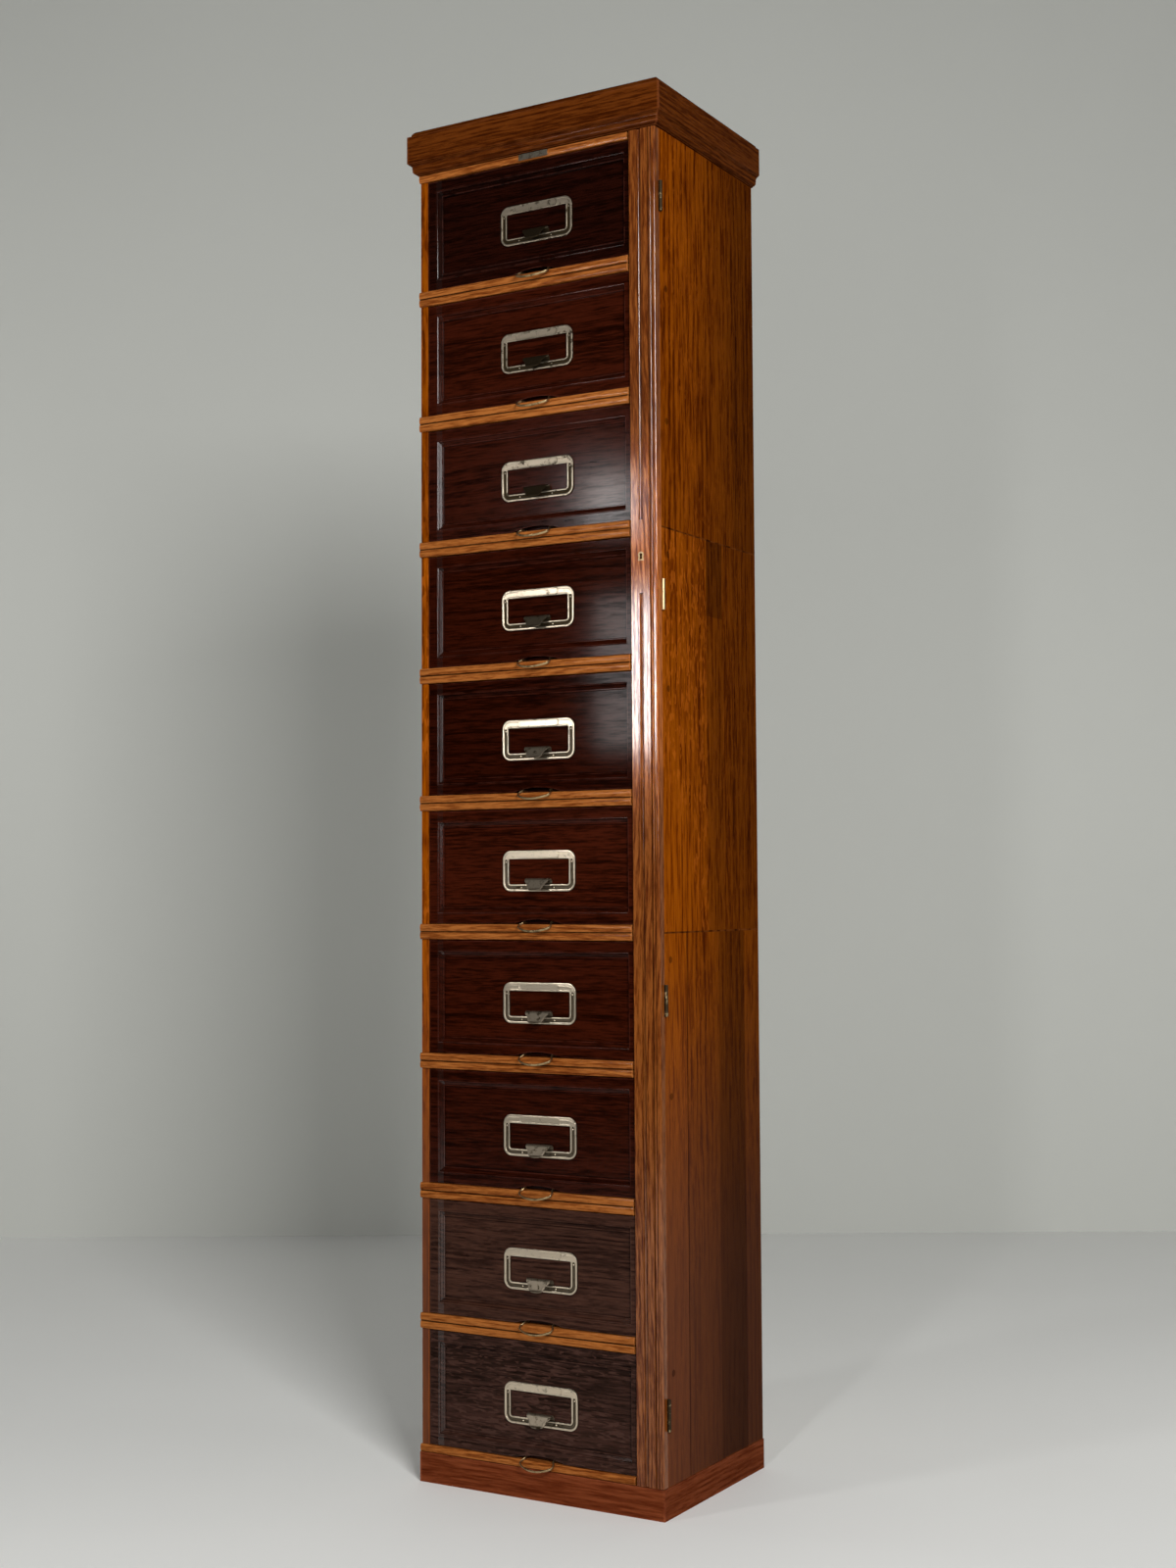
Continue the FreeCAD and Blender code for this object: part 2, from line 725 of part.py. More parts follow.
def label_frame():
    """Pressed metal frame: a flat top bar with a bare raised plate, a channel between
    two rims down the sides and along the bottom, and the finger tab."""
    middle = bottom_gap + label_centre
    base = field - sheet
    rim = field - rim_height
    window_width = label_width - 2 * side_bar
    window_height = label_height - top_bar - bottom_bar
    window_low = middle - label_height / 2 + bottom_bar
    window_high = window_low + window_height
    frame = rounded_plate(label_width, label_height, label_corner, middle, rim, field)
    channel = rounded_plate(label_width - 2 * outer_rim, label_height - 2 * outer_rim,
                            label_corner - outer_rim, middle, rim - 1, base)
    out, inside = label_width / 2, window_width / 2
    keep = block(-inside - inner_rim, inside + inner_rim, rim - 1, base,
                 window_low - inner_rim, window_high + inner_rim)
    bar_middle = (out - outer_rim + inside + inner_rim) / 2
    shoulder = middle + label_height / 2 - channel_shoulder
    low = middle - label_height / 2
    limits = outline((-out, low), [
        ((out, low),), ((out, shoulder),), ((bar_middle, shoulder + channel_point),), ((inside, shoulder),),
        ((-inside, shoulder),), ((-bar_middle, shoulder + channel_point),), ((-out, shoulder),),
        ((-out, low),)], lambda across, up: V(across, rim - 1, up))
    frame = frame.cut(channel.cut(keep).common(limits.extrude(V(0, base - rim + 1, 0))))
    frame = frame.fuse(title_plate(window_high + title_margin, middle + label_height / 2 - title_margin, rim))
    window = block(-inside, inside, rim - 1, field, window_low, window_high)
    return frame.cut(window).fuse(finger_tab(window_low)).removeSplitter()


def title_plate(low, high, seat):
    """The bare raised plate on the top bar, its corners cut off."""
    half, cut = title_width / 2, (high - low) / 3
    corners = [(half - cut, low), (half, low + cut), (half, high - cut), (half - cut, high),
               (cut - half, high), (-half, high - cut), (-half, low + cut), (cut - half, low)]
    plate = outline(corners[-1], [(corner,) for corner in corners],
                    lambda across, up: V(across, seat - title_proud, up))
    return plate.extrude(V(0, title_proud, 0))


def finger_tab(window_low):
    """Sheet tab: up from the lower bar, over a crest and down to a rounded lip."""
    slope = math.radians(tab_slope)
    outer, inner = tab_crest + sheet, tab_crest
    crest_y = field - outer
    crest_z = window_low + tab_rise - outer

    def on_crest(radius, angle):
        return (crest_y - radius * math.sin(angle), crest_z + radius * math.cos(angle))

    def place(y, z):
        return V(-tab_width / 2, y, z)

    over = on_crest(outer, slope)
    under = on_crest(inner, slope)
    run = (tab_reach - (field - over[0])) / math.cos(slope) * 0.8
    lip = (over[0] - run * math.cos(slope), over[1] - run * math.sin(slope))
    lip_under = (under[0] - run * math.cos(slope), under[1] - run * math.sin(slope))
    curl = sheet * 3
    turned = slope - math.radians(tab_lip_turn)
    end = (lip[0] - curl * math.cos(turned), lip[1] - curl * math.sin(turned))
    end_under = (end[0] + sheet * math.sin(turned), end[1] - sheet * math.cos(turned))
    root_z = window_low - bottom_bar / 2
    profile = outline((field, root_z), [
        ((field, crest_z),),
        (on_crest(outer, -math.radians(45)), on_crest(outer, 0)),
        (on_crest(outer, slope / 2), over),
        (lip,), (end,), (end_under,), (lip_under,), (under,),
        (on_crest(inner, slope / 2), on_crest(inner, 0)),
        (on_crest(inner, -math.radians(45)), (field - sheet, crest_z)),
        ((field - sheet, root_z),),
        ((field, root_z),)], place)
    sheet_tab = profile.extrude(V(tab_width, 0, 0))
    low = end_under[1] - 0.5
    wide, lip_half = tab_width / 2, tab_lip_width / 2
    front_view = outline((-wide, crest_z + 2 * outer), [
        ((wide, crest_z + 2 * outer),), ((wide, crest_z),), ((lip_half, low + tab_lip_round / 2),),
        ((lip_half / 2, low),), ((-lip_half / 2, low),), ((-lip_half, low + tab_lip_round / 2),),
        ((-wide, crest_z),), ((-wide, crest_z + 2 * outer),)],
        lambda across, up: V(across, field - 2 * tab_reach, up))
    ahead = front_view.extrude(V(0, 2 * tab_reach, 0))
    root = block(-wide, wide, field - sheet, field, root_z, crest_z)
    return sheet_tab.common(ahead.fuse(root))


def blank_plate():
    """Small bare plate on the top rail."""
    z = case_top - half_rail / 2
    y = front
    return block(-plate_width / 2, plate_width / 2, y - plate_thickness, y + 0.4,
                 z - plate_height / 2, z + plate_height / 2)


def export(name, pieces):
    """Write one node; a list becomes a group of separate solids."""
    shape = Part.makeCompound(pieces) if isinstance(pieces, list) else pieces
    for solid in shape.Solids:
        if not solid.isValid():
            raise ValueError("a solid of " + name + " is not valid")
    shape.exportStep("parts/" + name + ".step")
    return shape


def main():
    """Build and write every node."""
    os.makedirs("parts", exist_ok=True)
    numbers = range(1, drawer_count + 1)
    plate = blank_plate()
    rails = [rail.cut(plate) for rail in front_rails()]
    export("plinth_boards", plinth())
    export("side_panels_left", side_panels(-1))
    export("side_panels_right", side_panels(1))
    export("back_panels", back_panels())
    export("front_rails", rails)
    export("dust_boards", [dust_board(floor_of(number)) for number in numbers])
    export("drawer_runners", [piece for number in numbers for piece in runners(floor_of(number))] + kickers())
    export("drawer_stops", drawer_stops())
    export("guide_post", guide_post())
    export("cornice_moulding", cornice())
    export("top_board", top_board())
    export("blank_plate", plate)
    export("strike_plate", strike_plate())
    export("hinge_side_leaves", [hinge_leaf(z, post_front, True) for z in hinge_heights()])
    stile_leaf_y = front + stile_thickness - leaf_thickness
    export("lock_stile", lock_stile())
    export("hinge_stile_leaves", [hinge_leaf(z, stile_leaf_y, False) for z in hinge_heights()])
    export("keyhole_escutcheon", escutcheon())
    export("lock_case", lock_case())
    export("lock_bolt", lock_bolt(0.0))
    drawer = {"front": drawer_front(), "box": Part.makeCompound(drawer_box()),
              "label_frame": label_frame(), "loop_pull": loop_pull()}
    for number in numbers:
        for part, shape in drawer.items():
            export("drawer_%02d_%s" % (number, part), shape.translated(V(0, 0, floor_of(number))))


main()
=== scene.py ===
"""Looks of the oak filing chest: finishes, pressed label frames, bent loops and the studio."""

from __future__ import annotations

import logging
import math
from dataclasses import dataclass, replace
from enum import Enum
from typing import Callable, Iterable, Sequence

import bmesh
import bpy
from mathutils import Matrix, Vector


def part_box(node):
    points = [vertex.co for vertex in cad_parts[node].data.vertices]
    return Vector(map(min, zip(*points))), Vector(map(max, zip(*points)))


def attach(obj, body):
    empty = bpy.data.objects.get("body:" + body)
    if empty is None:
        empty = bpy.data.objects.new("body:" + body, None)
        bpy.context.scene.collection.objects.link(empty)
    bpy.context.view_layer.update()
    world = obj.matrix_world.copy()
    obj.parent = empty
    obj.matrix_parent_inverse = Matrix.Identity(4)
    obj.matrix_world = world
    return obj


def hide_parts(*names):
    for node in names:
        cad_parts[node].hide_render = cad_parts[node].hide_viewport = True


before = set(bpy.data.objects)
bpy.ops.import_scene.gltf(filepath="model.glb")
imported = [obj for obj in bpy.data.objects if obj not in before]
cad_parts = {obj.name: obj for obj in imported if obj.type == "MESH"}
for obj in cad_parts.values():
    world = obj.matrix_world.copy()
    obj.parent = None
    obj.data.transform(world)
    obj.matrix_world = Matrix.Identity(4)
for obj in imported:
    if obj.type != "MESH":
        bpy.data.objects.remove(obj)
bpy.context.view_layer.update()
LOG = logging.getLogger("filing_chest")
MM = 0.001
Colour = tuple[float, float, float]
Mesh = bmesh.types.BMesh
Vert = bmesh.types.BMVert
Edge = bmesh.types.BMEdge
Face = bmesh.types.BMFace
Material = bpy.types.Material
Socket = bpy.types.NodeSocket


class Axis(Enum):
    """A direction that grain or a turned piece follows."""

    X = 0
    Y = 1
    Z = 2


class Cut(Enum):
    """How a board was sawn from the log: how far its rings drift over the face, in metres."""

    PLAIN = 0.060
    QUARTER = 0.024


def srgb(red: int, green: int, blue: int) -> Colour:
    """Linear colour from three 0 to 255 screen values, by the standard sRGB curve."""
    def channel(value: int) -> float:
        """One channel, from screen to linear."""
        share = value / 255
        return share / 12.92 if share <= 0.04045 else ((share + 0.055) / 1.055) ** 2.4
    return channel(red), channel(green), channel(blue)


def tinted(colour: Colour, gain: float, lift: float = 0.0) -> Colour:
    """A linear colour times a gain, with a little added."""
    return tuple(min(1.0, channel * gain + lift) for channel in colour)


def operator(name: str, swapped: bool = False) -> Callable[..., Value]:
    """A Python operator on shader values that adds one Math node.

    Args:
        name: the node's operation.
        swapped: whether the value stands last, as in 1 - value.

    Returns:
        The method.
    """
    def apply(self: Value, *others: Value | float) -> Value:
        """Add the node over this value and the others."""
        return self.shader.math(name, *((*others, self) if swapped else (self, *others)))
    return apply


class Value:
    """A shader value: wraps one output socket, and Python operators on it add Math nodes."""

    def __init__(self, shader: Shader, socket: Socket) -> None:
        """Keep the shader that owns the socket."""
        self.shader = shader
        self.socket = socket

    __add__ = operator("ADD")
    __radd__ = operator("ADD", swapped=True)
    __sub__ = operator("SUBTRACT")
    __rsub__ = operator("SUBTRACT", swapped=True)
    __mul__ = operator("MULTIPLY")
    __rmul__ = operator("MULTIPLY", swapped=True)
    __truediv__ = operator("DIVIDE")
    __pow__ = operator("POWER")
    __abs__ = operator("ABSOLUTE")
    __gt__ = operator("GREATER_THAN")
    __lt__ = operator("LESS_THAN")

    def clamp(self) -> Value:
        """Held between 0 and 1."""
        return self.ramp(0.0, 1.0)

    def ramp(self, low: float, high: float) -> Value:
        """0 below low, 1 above high and smooth between them; low may be above high."""
        return self.shader.smooth(self, low, high)


class Shader:
    """One material's node tree, with short ways to add to it."""

    def __init__(self, name: str) -> None:
        """Make the material with an empty tree and its coordinates."""
        self.material = bpy.data.materials.new(name)
        self.material.use_nodes = True
        self.tree = self.material.node_tree
        self.tree.nodes.clear()
        place = self.node("ShaderNodeTexCoord").outputs["Object"]
        parts = self.node("ShaderNodeSeparateXYZ", Vector=place)
        self.place = place
        self.x, self.y, self.z = (Value(self, parts.outputs[name]) for name in "XYZ")

    def node(self, kind: str, settings: dict | None = None, **inputs: object) -> bpy.types.Node:
        """Add a node.

        Args:
            kind: the node's type name.
            settings: properties set before any input; "stops" fills a colour ramp.
            inputs: values or sockets, by socket name, with _ for a space; i0, i1 by number.

        Returns:
            The new node.
        """
        made = self.tree.nodes.new(kind)
        for key, value in (settings or {}).items():
            if key == "stops":
                for index, (position, colour) in enumerate(value):
                    elements = made.color_ramp.elements
                    stop = elements[index] if index < len(elements) else elements.new(position)
                    stop.position, stop.color = position, (*colour, 1.0)
            else:
                setattr(made, key, value)
        for key, value in inputs.items():
            numbered = key[0] == "i" and key[1:].isdigit()
            socket = made.inputs[int(key[1:])] if numbered else made.inputs[key.replace("_", " ")]
            self.feed(socket, value)
        return made

    def feed(self, socket: Socket, value: object) -> None:
        """Set a socket to a number or colour, or link it to another socket."""
        if isinstance(value, Value):
            value = value.socket
        if isinstance(value, Socket):
            self.tree.links.new(value, socket)
        elif socket.type == "RGBA" and len(value) == 3:
            socket.default_value = (*value, 1.0)
        else:
            socket.default_value = value

    def math(self, operation: str, *values: Value | float) -> Value:
        """A Math node over up to three values."""
        inputs = {f"i{index}": value for index, value in enumerate(values)}
        made = self.node("ShaderNodeMath", {"operation": operation}, **inputs)
        return Value(self, made.outputs[0])

    def smooth(self, value: Value, low: float, high: float) -> Value:
        """A smooth step of value from low to high."""
        made = self.node("ShaderNodeMapRange", {"interpolation_type": "SMOOTHSTEP", "clamp": True},
                         Value=value, From_Min=min(low, high), From_Max=max(low, high),
                         To_Min=0.0 if low < high else 1.0, To_Max=1.0 if low < high else 0.0)
        return Value(self, made.outputs[0])

    def vector(self, x: Value | float, y: Value | float, z: Value | float) -> Socket:
        """A vector from three values."""
        return self.node("ShaderNodeCombineXYZ", X=x, Y=y, Z=z).outputs[0]

    def noise(self, place: Socket, scale: float, detail: float = 2.0,
              rough: float = 0.5, distort: float = 0.0) -> Value:
        """Noise around 0.5 at a place."""
        made = self.node("ShaderNodeTexNoise", {"noise_dimensions": "3D"}, Vector=place,
                         Scale=scale, Detail=detail, Roughness=rough, Distortion=distort)
        return Value(self, made.outputs[0])

    def mix(self, share: Value | float, first: object, second: object) -> Socket:
        """A colour between first and second."""
        made = self.node("ShaderNodeMix", {"data_type": "RGBA"})
        self.feed(made.inputs["Factor"], share)
        self.feed(made.inputs[6], first)
        self.feed(made.inputs[7], second)
        return made.outputs[2]

    def shade(self, colour: Socket, amount: Value | float) -> Socket:
        """A colour made lighter or darker by a factor."""
        made = self.node("ShaderNodeVectorMath", {"operation": "SCALE"}, Vector=colour,
                         Scale=amount)
        return made.outputs[0]

    def closeness(self, reach: float, inside: bool = False) -> Value:
        """1 on open ground, less within reach of an inner corner, or of an edge if inside."""
        made = self.node("ShaderNodeAmbientOcclusion",
                         {"samples": 4, "only_local": True, "inside": inside}, Distance=reach)
        return Value(self, made.outputs["AO"])

    def finish(self, colour: object, rough: Value | float, height: Value | None = None,
               depth: float = 0.0, round_edge: float = 0.0, metallic: float = 0.0,
               coat: Value | float = 0.0, gloss: float = 0.5, polish: float = 0.1,
               clear_back: bool = False) -> Material:
        """Close the tree with the surface shader.

        Args:
            colour, rough, metallic, gloss: the base and its own reflection.
            height, depth: relief from 0 to 1, and what 1 means in metres.
            round_edge: radius that sharp edges are shaded with, in metres.
            coat, polish: weight and roughness of the clear coat.
            clear_back: whether a sheet can be looked through from behind.

        Returns:
            The finished material.
        """
        surface = self.node("ShaderNodeBsdfPrincipled", Base_Color=colour, Roughness=rough,
                            Metallic=metallic, Coat_Weight=coat, Coat_Roughness=polish,
                            Specular_IOR_Level=gloss)
        normal = None
        if round_edge:
            normal = self.node("ShaderNodeBevel", {"samples": 4}, Radius=round_edge).outputs[0]
        if height is not None:
            bump = self.node("ShaderNodeBump", Height=height, Distance=depth, Strength=1.0)
            if normal is not None:
                self.feed(bump.inputs["Normal"], normal)
            normal = bump.outputs[0]
        if normal is not None:
            self.feed(surface.inputs["Normal"], normal)
        result = surface.outputs[0]
        if clear_back:
            behind = self.node("ShaderNodeNewGeometry").outputs["Backfacing"]
            clear = self.node("ShaderNodeBsdfTransparent").outputs[0]
            result = self.node("ShaderNodeMixShader", i0=behind, i1=result, i2=clear).outputs[0]
        self.node("ShaderNodeOutputMaterial", Surface=result)
        return self.material


@dataclass(frozen=True)
class Layer:
    """Noise stretched along the grain.

    Args:
        along, across: its rates to the metre, along and across the grain.
        detail, rough, distort: the noise's own settings.
    """

    along: float
    across: float
    detail: float = 2.0
    rough: float = 0.5
    distort: float = 0.0

    def over(self, shader: Shader, along: Value, first: Value, second: Value) -> Value:
        """The noise over one coordinate along the grain and two across it, around 0.5."""
        place = shader.vector(along * self.along, first * self.across, second * self.across)
        return shader.noise(place, 1.0, self.detail, self.rough, self.distort)


# Wood: layers of the grain and their shares of its tone.
DRIFT = Layer(1.1, 5.0)
WOBBLE = Layer(6.0, 26.0, 3.0)
RING_STRENGTH = Layer(1.9, 33.0, 2.0, 0.6)
CLOUDS = Layer(0.8, 17.0, 3.0, 0.6)
FLECK_PLACES = Layer(4.0, 9.0)
SEED_STRIDE = 3.7           # metres along the grain for a seed of 1
RING_LEAN = 0.8             # slope of the rings through the board
RING_WOBBLE = 0.010         # short waves of the rings, in metres
CLOUD_SHARE, STREAK_SHARE, RING_SHARE = 0.24, 0.68, 0.08
PORE_LEAST = 0.40           # strength of the pores between rings
PORE_TONE = 0.30            # a pore's share of the dark tone
# Wood: painted shade in inner corners, edges painted pale (partly worn wood, partly a painted
# highlight) and relief, in metres.
CORNER_SHADE_REACH = 0.006
CORNER_SHADE_TONE = 0.12
CORNER_SHADE_SHARE = 0.8
WORN_EDGE_AND_HIGHLIGHT_REACH = 0.0022
RELIEF = 0.00022
ROUNDED = 0.0007
MITRE_BLUR = 0.0002
POLISH_COAT = 0.7           # coat added where the wood is polished bright
# Wood: marks of the case sides and rails, and the painted shade along each rail's middle groove, in
# metres.
FALL_REACH = 0.12           # y between which a side loses its brightness
JOINT_RATE = 480.0          # 1 over a joint line's half width
JOINT_DARK = 0.9
PLUG_RADII = (0.0055, 0.0040)
PLUG_DARK = 0.5
GROOVE_SHADE_HALF_WIDTHS = (0.0016, 0.0006)
GROOVE_SHADE_DARK = 0.8
HAND_AND_SHEEN_FADE = (0.12, 0.05)    # outside and inside the stretch of hand-paled wood and painted sheen
# Metal: reach of the tarnish, blur of its limits and relief, in metres.
HOLLOW_REACH = 0.003
HOLLOW_TARNISH = 0.7
HOLLOW_BLUR = 0.0004
PROUD_BLUR = 0.0006
BRIGHT_REACH = (0.05, 0.07)
METAL_RELIEF = 0.00008
METAL_ROUNDED = 0.0003


@dataclass(frozen=True)
class Oak:
    """Stained and varnished oak.

    Args:
        dark, mid, light: the three tones of the grain.
        cut: how the boards were sawn.
        rough: roughness of the varnish.
        pores: strength of the dark pore lines.
        flecks: strength of the pale ray flecks.
        rings: spacing of the growth rings, in metres.
        coat: weight of the varnish's clear coat.
        gloss: level of the wood's own reflection.
        polish: roughness of the clear coat.
        fibre: fibres to the metre across the grain.
        fleck_rate: ray flecks to the metre along and across the grain.
        wear_and_highlight: how far edges are painted pale, partly worn by hands and partly a
            painted highlight.
        craze: unevenness of the varnish.
    """

    dark: Colour
    mid: Colour
    light: Colour
    cut: Cut = Cut.PLAIN
    rough: float = 0.32
    pores: float = 0.7
    flecks: float = 0.0
    rings: float = 0.006
    coat: float = 0.25
    gloss: float = 0.0
    polish: float = 0.1
    fibre: float = 170.0
    fleck_rate: tuple[float, float] = (34.0, 120.0)
    wear_and_highlight: float = 0.5
    craze: float = 0.4

    def grain(self, shader: Shader, axis: Axis, seed: float) -> tuple[Value, Value, Value]:
        """Grain along one axis.

        Args:
            shader: the material's tree.
            axis: the direction of the grain.
            seed: moves the pattern, so that boards differ.

        Returns:
            Tone from 0 to 1, mask of the pores, mask of the ray flecks.
        """
        ways = [shader.x, shader.y, shader.z]
        along = ways.pop(axis.value) + seed * SEED_STRIDE
        first, second = (way + seed for way in ways)
        drift = DRIFT.over(shader, along, first, second) - 0.5
        wobble = WOBBLE.over(shader, along, first, second) - 0.5
        depth = first + second * RING_LEAN + drift * self.cut.value + wobble * RING_WOBBLE
        strong = RING_STRENGTH.over(shader, along, first, second)
        ring = self._wave(shader, depth / self.rings).ramp(0.30, 1.0) * strong.ramp(0.30, 0.70)
        cloud = CLOUDS.over(shader, along, first, second)
        fibres = Layer(self.fibre * 0.09, self.fibre, 4.0, 0.66)
        streak = fibres.over(shader, along, depth, second)
        tone = cloud * CLOUD_SHARE + streak * STREAK_SHARE + (1 - ring) * RING_SHARE
        dashes = Layer(self.fibre * 0.24, self.fibre * 4.5, 1.0, 0.4)
        dash = dashes.over(shader, along, depth, second).ramp(0.52, 0.66)
        pore = dash * (PORE_LEAST + ring * (1 - PORE_LEAST))
        where = FLECK_PLACES.over(shader, along, first, second).ramp(0.30, 0.48)
        veins = Layer(*self.fleck_rate, 1.0, 0.4, 0.9)
        fleck = veins.over(shader, along, first, second).ramp(0.53, 0.62) * where
        return tone.ramp(0.34, 0.62), pore, fleck

    @staticmethod
    def _wave(shader: Shader, phase: Value) -> Value:
        """A rounded wave from 0 to 1 of period 1."""
        return shader.math("SINE", phase * math.tau) * 0.5 + 0.5

    def material(self, name: str, axis: Axis, seed: float = 0.0, end_axis: Axis | None = None,
                 tone: BoardTone | None = None) -> Material:
        """The finish on boards whose grain runs along an axis.

        Args:
            name: the material's name.
            axis: direction of the grain.
            seed: moves the pattern.
            end_axis: grain axis of the return boards, past the mitres, where there are any.
            tone: changes of colour over the boards.

        Returns:
            The material.
        """
        shader = Shader(name)
        tint, pore, fleck = self.grain(shader, axis, seed)
        if end_axis is not None:
            past = (abs(shader.x) - HALF_WIDTH) - (FRONT_PLANE - shader.y)
            side = past.ramp(-MITRE_BLUR, MITRE_BLUR)
            other = self.grain(shader, end_axis, seed + 0.31)
            tint = tint + (other[0] - tint) * side
            pore = pore + (other[1] - pore) * side
            fleck = fleck + (other[2] - fleck) * side
        colour = self._tones(shader, tint, pore, fleck, tone)
        if tone is not None:
            colour = tone.apply(shader, colour)
        colour = self._aged(shader, colour)
        smudge = shader.noise(shader.place, 9.0, 3.0) - 0.5
        rough = self.rough + smudge * 0.22 + pore * 0.18 - fleck * 0.05
        crazed = shader.noise(shader.place, 120.0, 2.0)
        relief = (1 - pore) * 0.5 + tint * 0.25 + crazed * self.craze
        coat = (0.45 + tint * 0.55) * (1 - pore * 0.7) * self.coat
        if tone is not None and tone.polished is not None:
            start, end = tone.polished
            coat = coat + (shader.x > start) * (shader.x < end) * POLISH_COAT
        return shader.finish(colour, rough, relief, RELIEF, ROUNDED,
                             coat=coat if self.coat else 0.0, gloss=self.gloss, polish=self.polish)

    def _tones(self, shader: Shader, tint: Value, pore: Value, fleck: Value,
               tone: BoardTone | None) -> Socket:
        """Colour of the bare grain.

        Args:
            shader: the material's tree.
            tint, pore, fleck: the grain.
            tone: changes of colour over the boards, for the board that is figured.

        Returns:
            The colour.
        """
        stops = ((0.0, self.dark), (0.5, self.mid), (1.0, self.light))
        colour = shader.node("ShaderNodeValToRGB", {"stops": stops}, Fac=tint).outputs[0]
        colour = shader.shade(colour, 0.80 + shader.noise(shader.place, 3.1, 2.0) * 0.40)
        colour = shader.mix(pore * self.pores, colour, tinted(self.dark, PORE_TONE))
        if not self.flecks:
            return colour
        if tone is not None and tone.figured is not None:
            fleck = fleck * (0.45 + tone.figured.mask(shader) * 0.55)
        return shader.mix(fleck * self.flecks, colour, tinted(self.light, 1.5, 0.004))

    def _aged(self, shader: Shader, colour: Socket) -> Socket:
        """The colour with painted shade in the inner corners, and edges painted pale: partly worn
        wood, partly a painted highlight.
        """
        # Painted shade: the colour darkens within reach of inner corners and recesses.
        corner_shade = 1 - shader.closeness(CORNER_SHADE_REACH).ramp(0.40, 0.92)
        colour = shader.mix(corner_shade * CORNER_SHADE_SHARE, colour, tinted(self.dark, CORNER_SHADE_TONE))
        # Edges painted pale: partly worn wood, partly a painted highlight along the mouldings.
        worn_edge_and_highlight = (1 - shader.closeness(WORN_EDGE_AND_HIGHLIGHT_REACH, inside=True)).ramp(0.10, 0.45)
        worn_edge_and_highlight = worn_edge_and_highlight * shader.noise(shader.place, 60.0, 2.0).ramp(0.30, 0.60)
        return shader.mix(worn_edge_and_highlight * self.wear_and_highlight, colour, tinted(self.light, 1.6, 0.01))


@dataclass(frozen=True)
class Board:
    """One board of a case side, as a rectangle in y and z, and its brightness."""

    y: tuple[float, float]
    z: tuple[float, float]
    gain: float = 1.0

    def mask(self, shader: Shader) -> Value:
        """1 on the board, 0 off it."""
        (front, rear), (low, high) = self.y, self.z
        return (shader.y > front) * (shader.y < rear) * (shader.z > low) * (shader.z < high)


@dataclass(frozen=True)
class BoardTone:
    """Slow changes of colour over a case: boards, joints, plugs and dullness toward the floor.

    Args:
        gain: brightness of the whole.
        fall: brightness lost from the front edge to the rear edge.
        boards: boards lighter or darker than the rest.
        figured: the board with ray flecks all over, or None.
        joints: heights of the dark lines where one stacked section ends and the next begins.
        plugs: y and z of the middles of wooden plugs.
        groove_shade: height of the lowest groove with painted shade along it, and the spacing of
            the rest, or None.
        handled_and_sheen: heights between which the wood is painted brighter, partly paled by hands
            and partly a painted sheen, and the brightness there, or None.
        polished: x from and to which the wood is polished bright, or None.
        dull: colour that the foot of the case fades to.
        dull_share: how far it fades.
        dull_from, dull_to: heights between which it fades.
    """

    gain: float = 1.0
    fall: float = 0.0
    boards: tuple[Board, ...] = ()
    figured: Board | None = None
    joints: tuple[float, ...] = ()
    plugs: tuple[tuple[float, float], ...] = ()
    groove_shade: tuple[float, float] | None = None
    handled_and_sheen: tuple[float, float, float] | None = None
    polished: tuple[float, float] | None = None
    dull: Colour = (0.08, 0.03, 0.02)
    dull_share: float = 0.0
    dull_from: float = 0.9
    dull_to: float = 0.2

    def apply(self, shader: Shader, colour: Socket) -> Socket:
        """The colour with these changes."""
        gain: Value | float = self.gain
        if self.fall:
            gain = self.gain - shader.y.ramp(-FALL_REACH, FALL_REACH) * self.fall
        for board in self.boards:
            gain = gain * (1 - board.mask(shader) * (1 - board.gain))
        if self.dull_share:
            fade = shader.z.ramp(self.dull_from, self.dull_to)
            colour = shader.mix(fade * self.dull_share, colour, self.dull)
        for joint in self.joints:
            line = (1 - abs(shader.z - joint) * JOINT_RATE).clamp()
            gain = gain * (1 - line * JOINT_DARK)
        for across, height in self.plugs:
            away = (shader.y - across) ** 2.0 + (shader.z - height) ** 2.0
            plug = away.ramp(*(radius ** 2 for radius in PLUG_RADII))
            gain = gain * (1 - plug * PLUG_DARK)
        # Painted shade: a dark line along each rail's middle groove.
        if self.groove_shade is not None:
            first, pitch = self.groove_shade
            off = shader.math("FLOORED_MODULO", shader.z - first + pitch / 2, pitch) - pitch / 2
            gain = gain * (1 - abs(off).ramp(*GROOVE_SHADE_HALF_WIDTHS) * GROOVE_SHADE_DARK)
        # Painted sheen: this stretch is painted brighter, partly wood paled by hands and partly the
        # lamp's streak painted in.
        if self.handled_and_sheen is not None:
            low, high, bright = self.handled_and_sheen
            outside, inside = HAND_AND_SHEEN_FADE
            above = shader.z.ramp(low - outside, low + inside)
            below = shader.z.ramp(high + outside, high - inside)
            gain = gain * (1 + above * below * (bright - 1))
        return shader.shade(colour, gain)


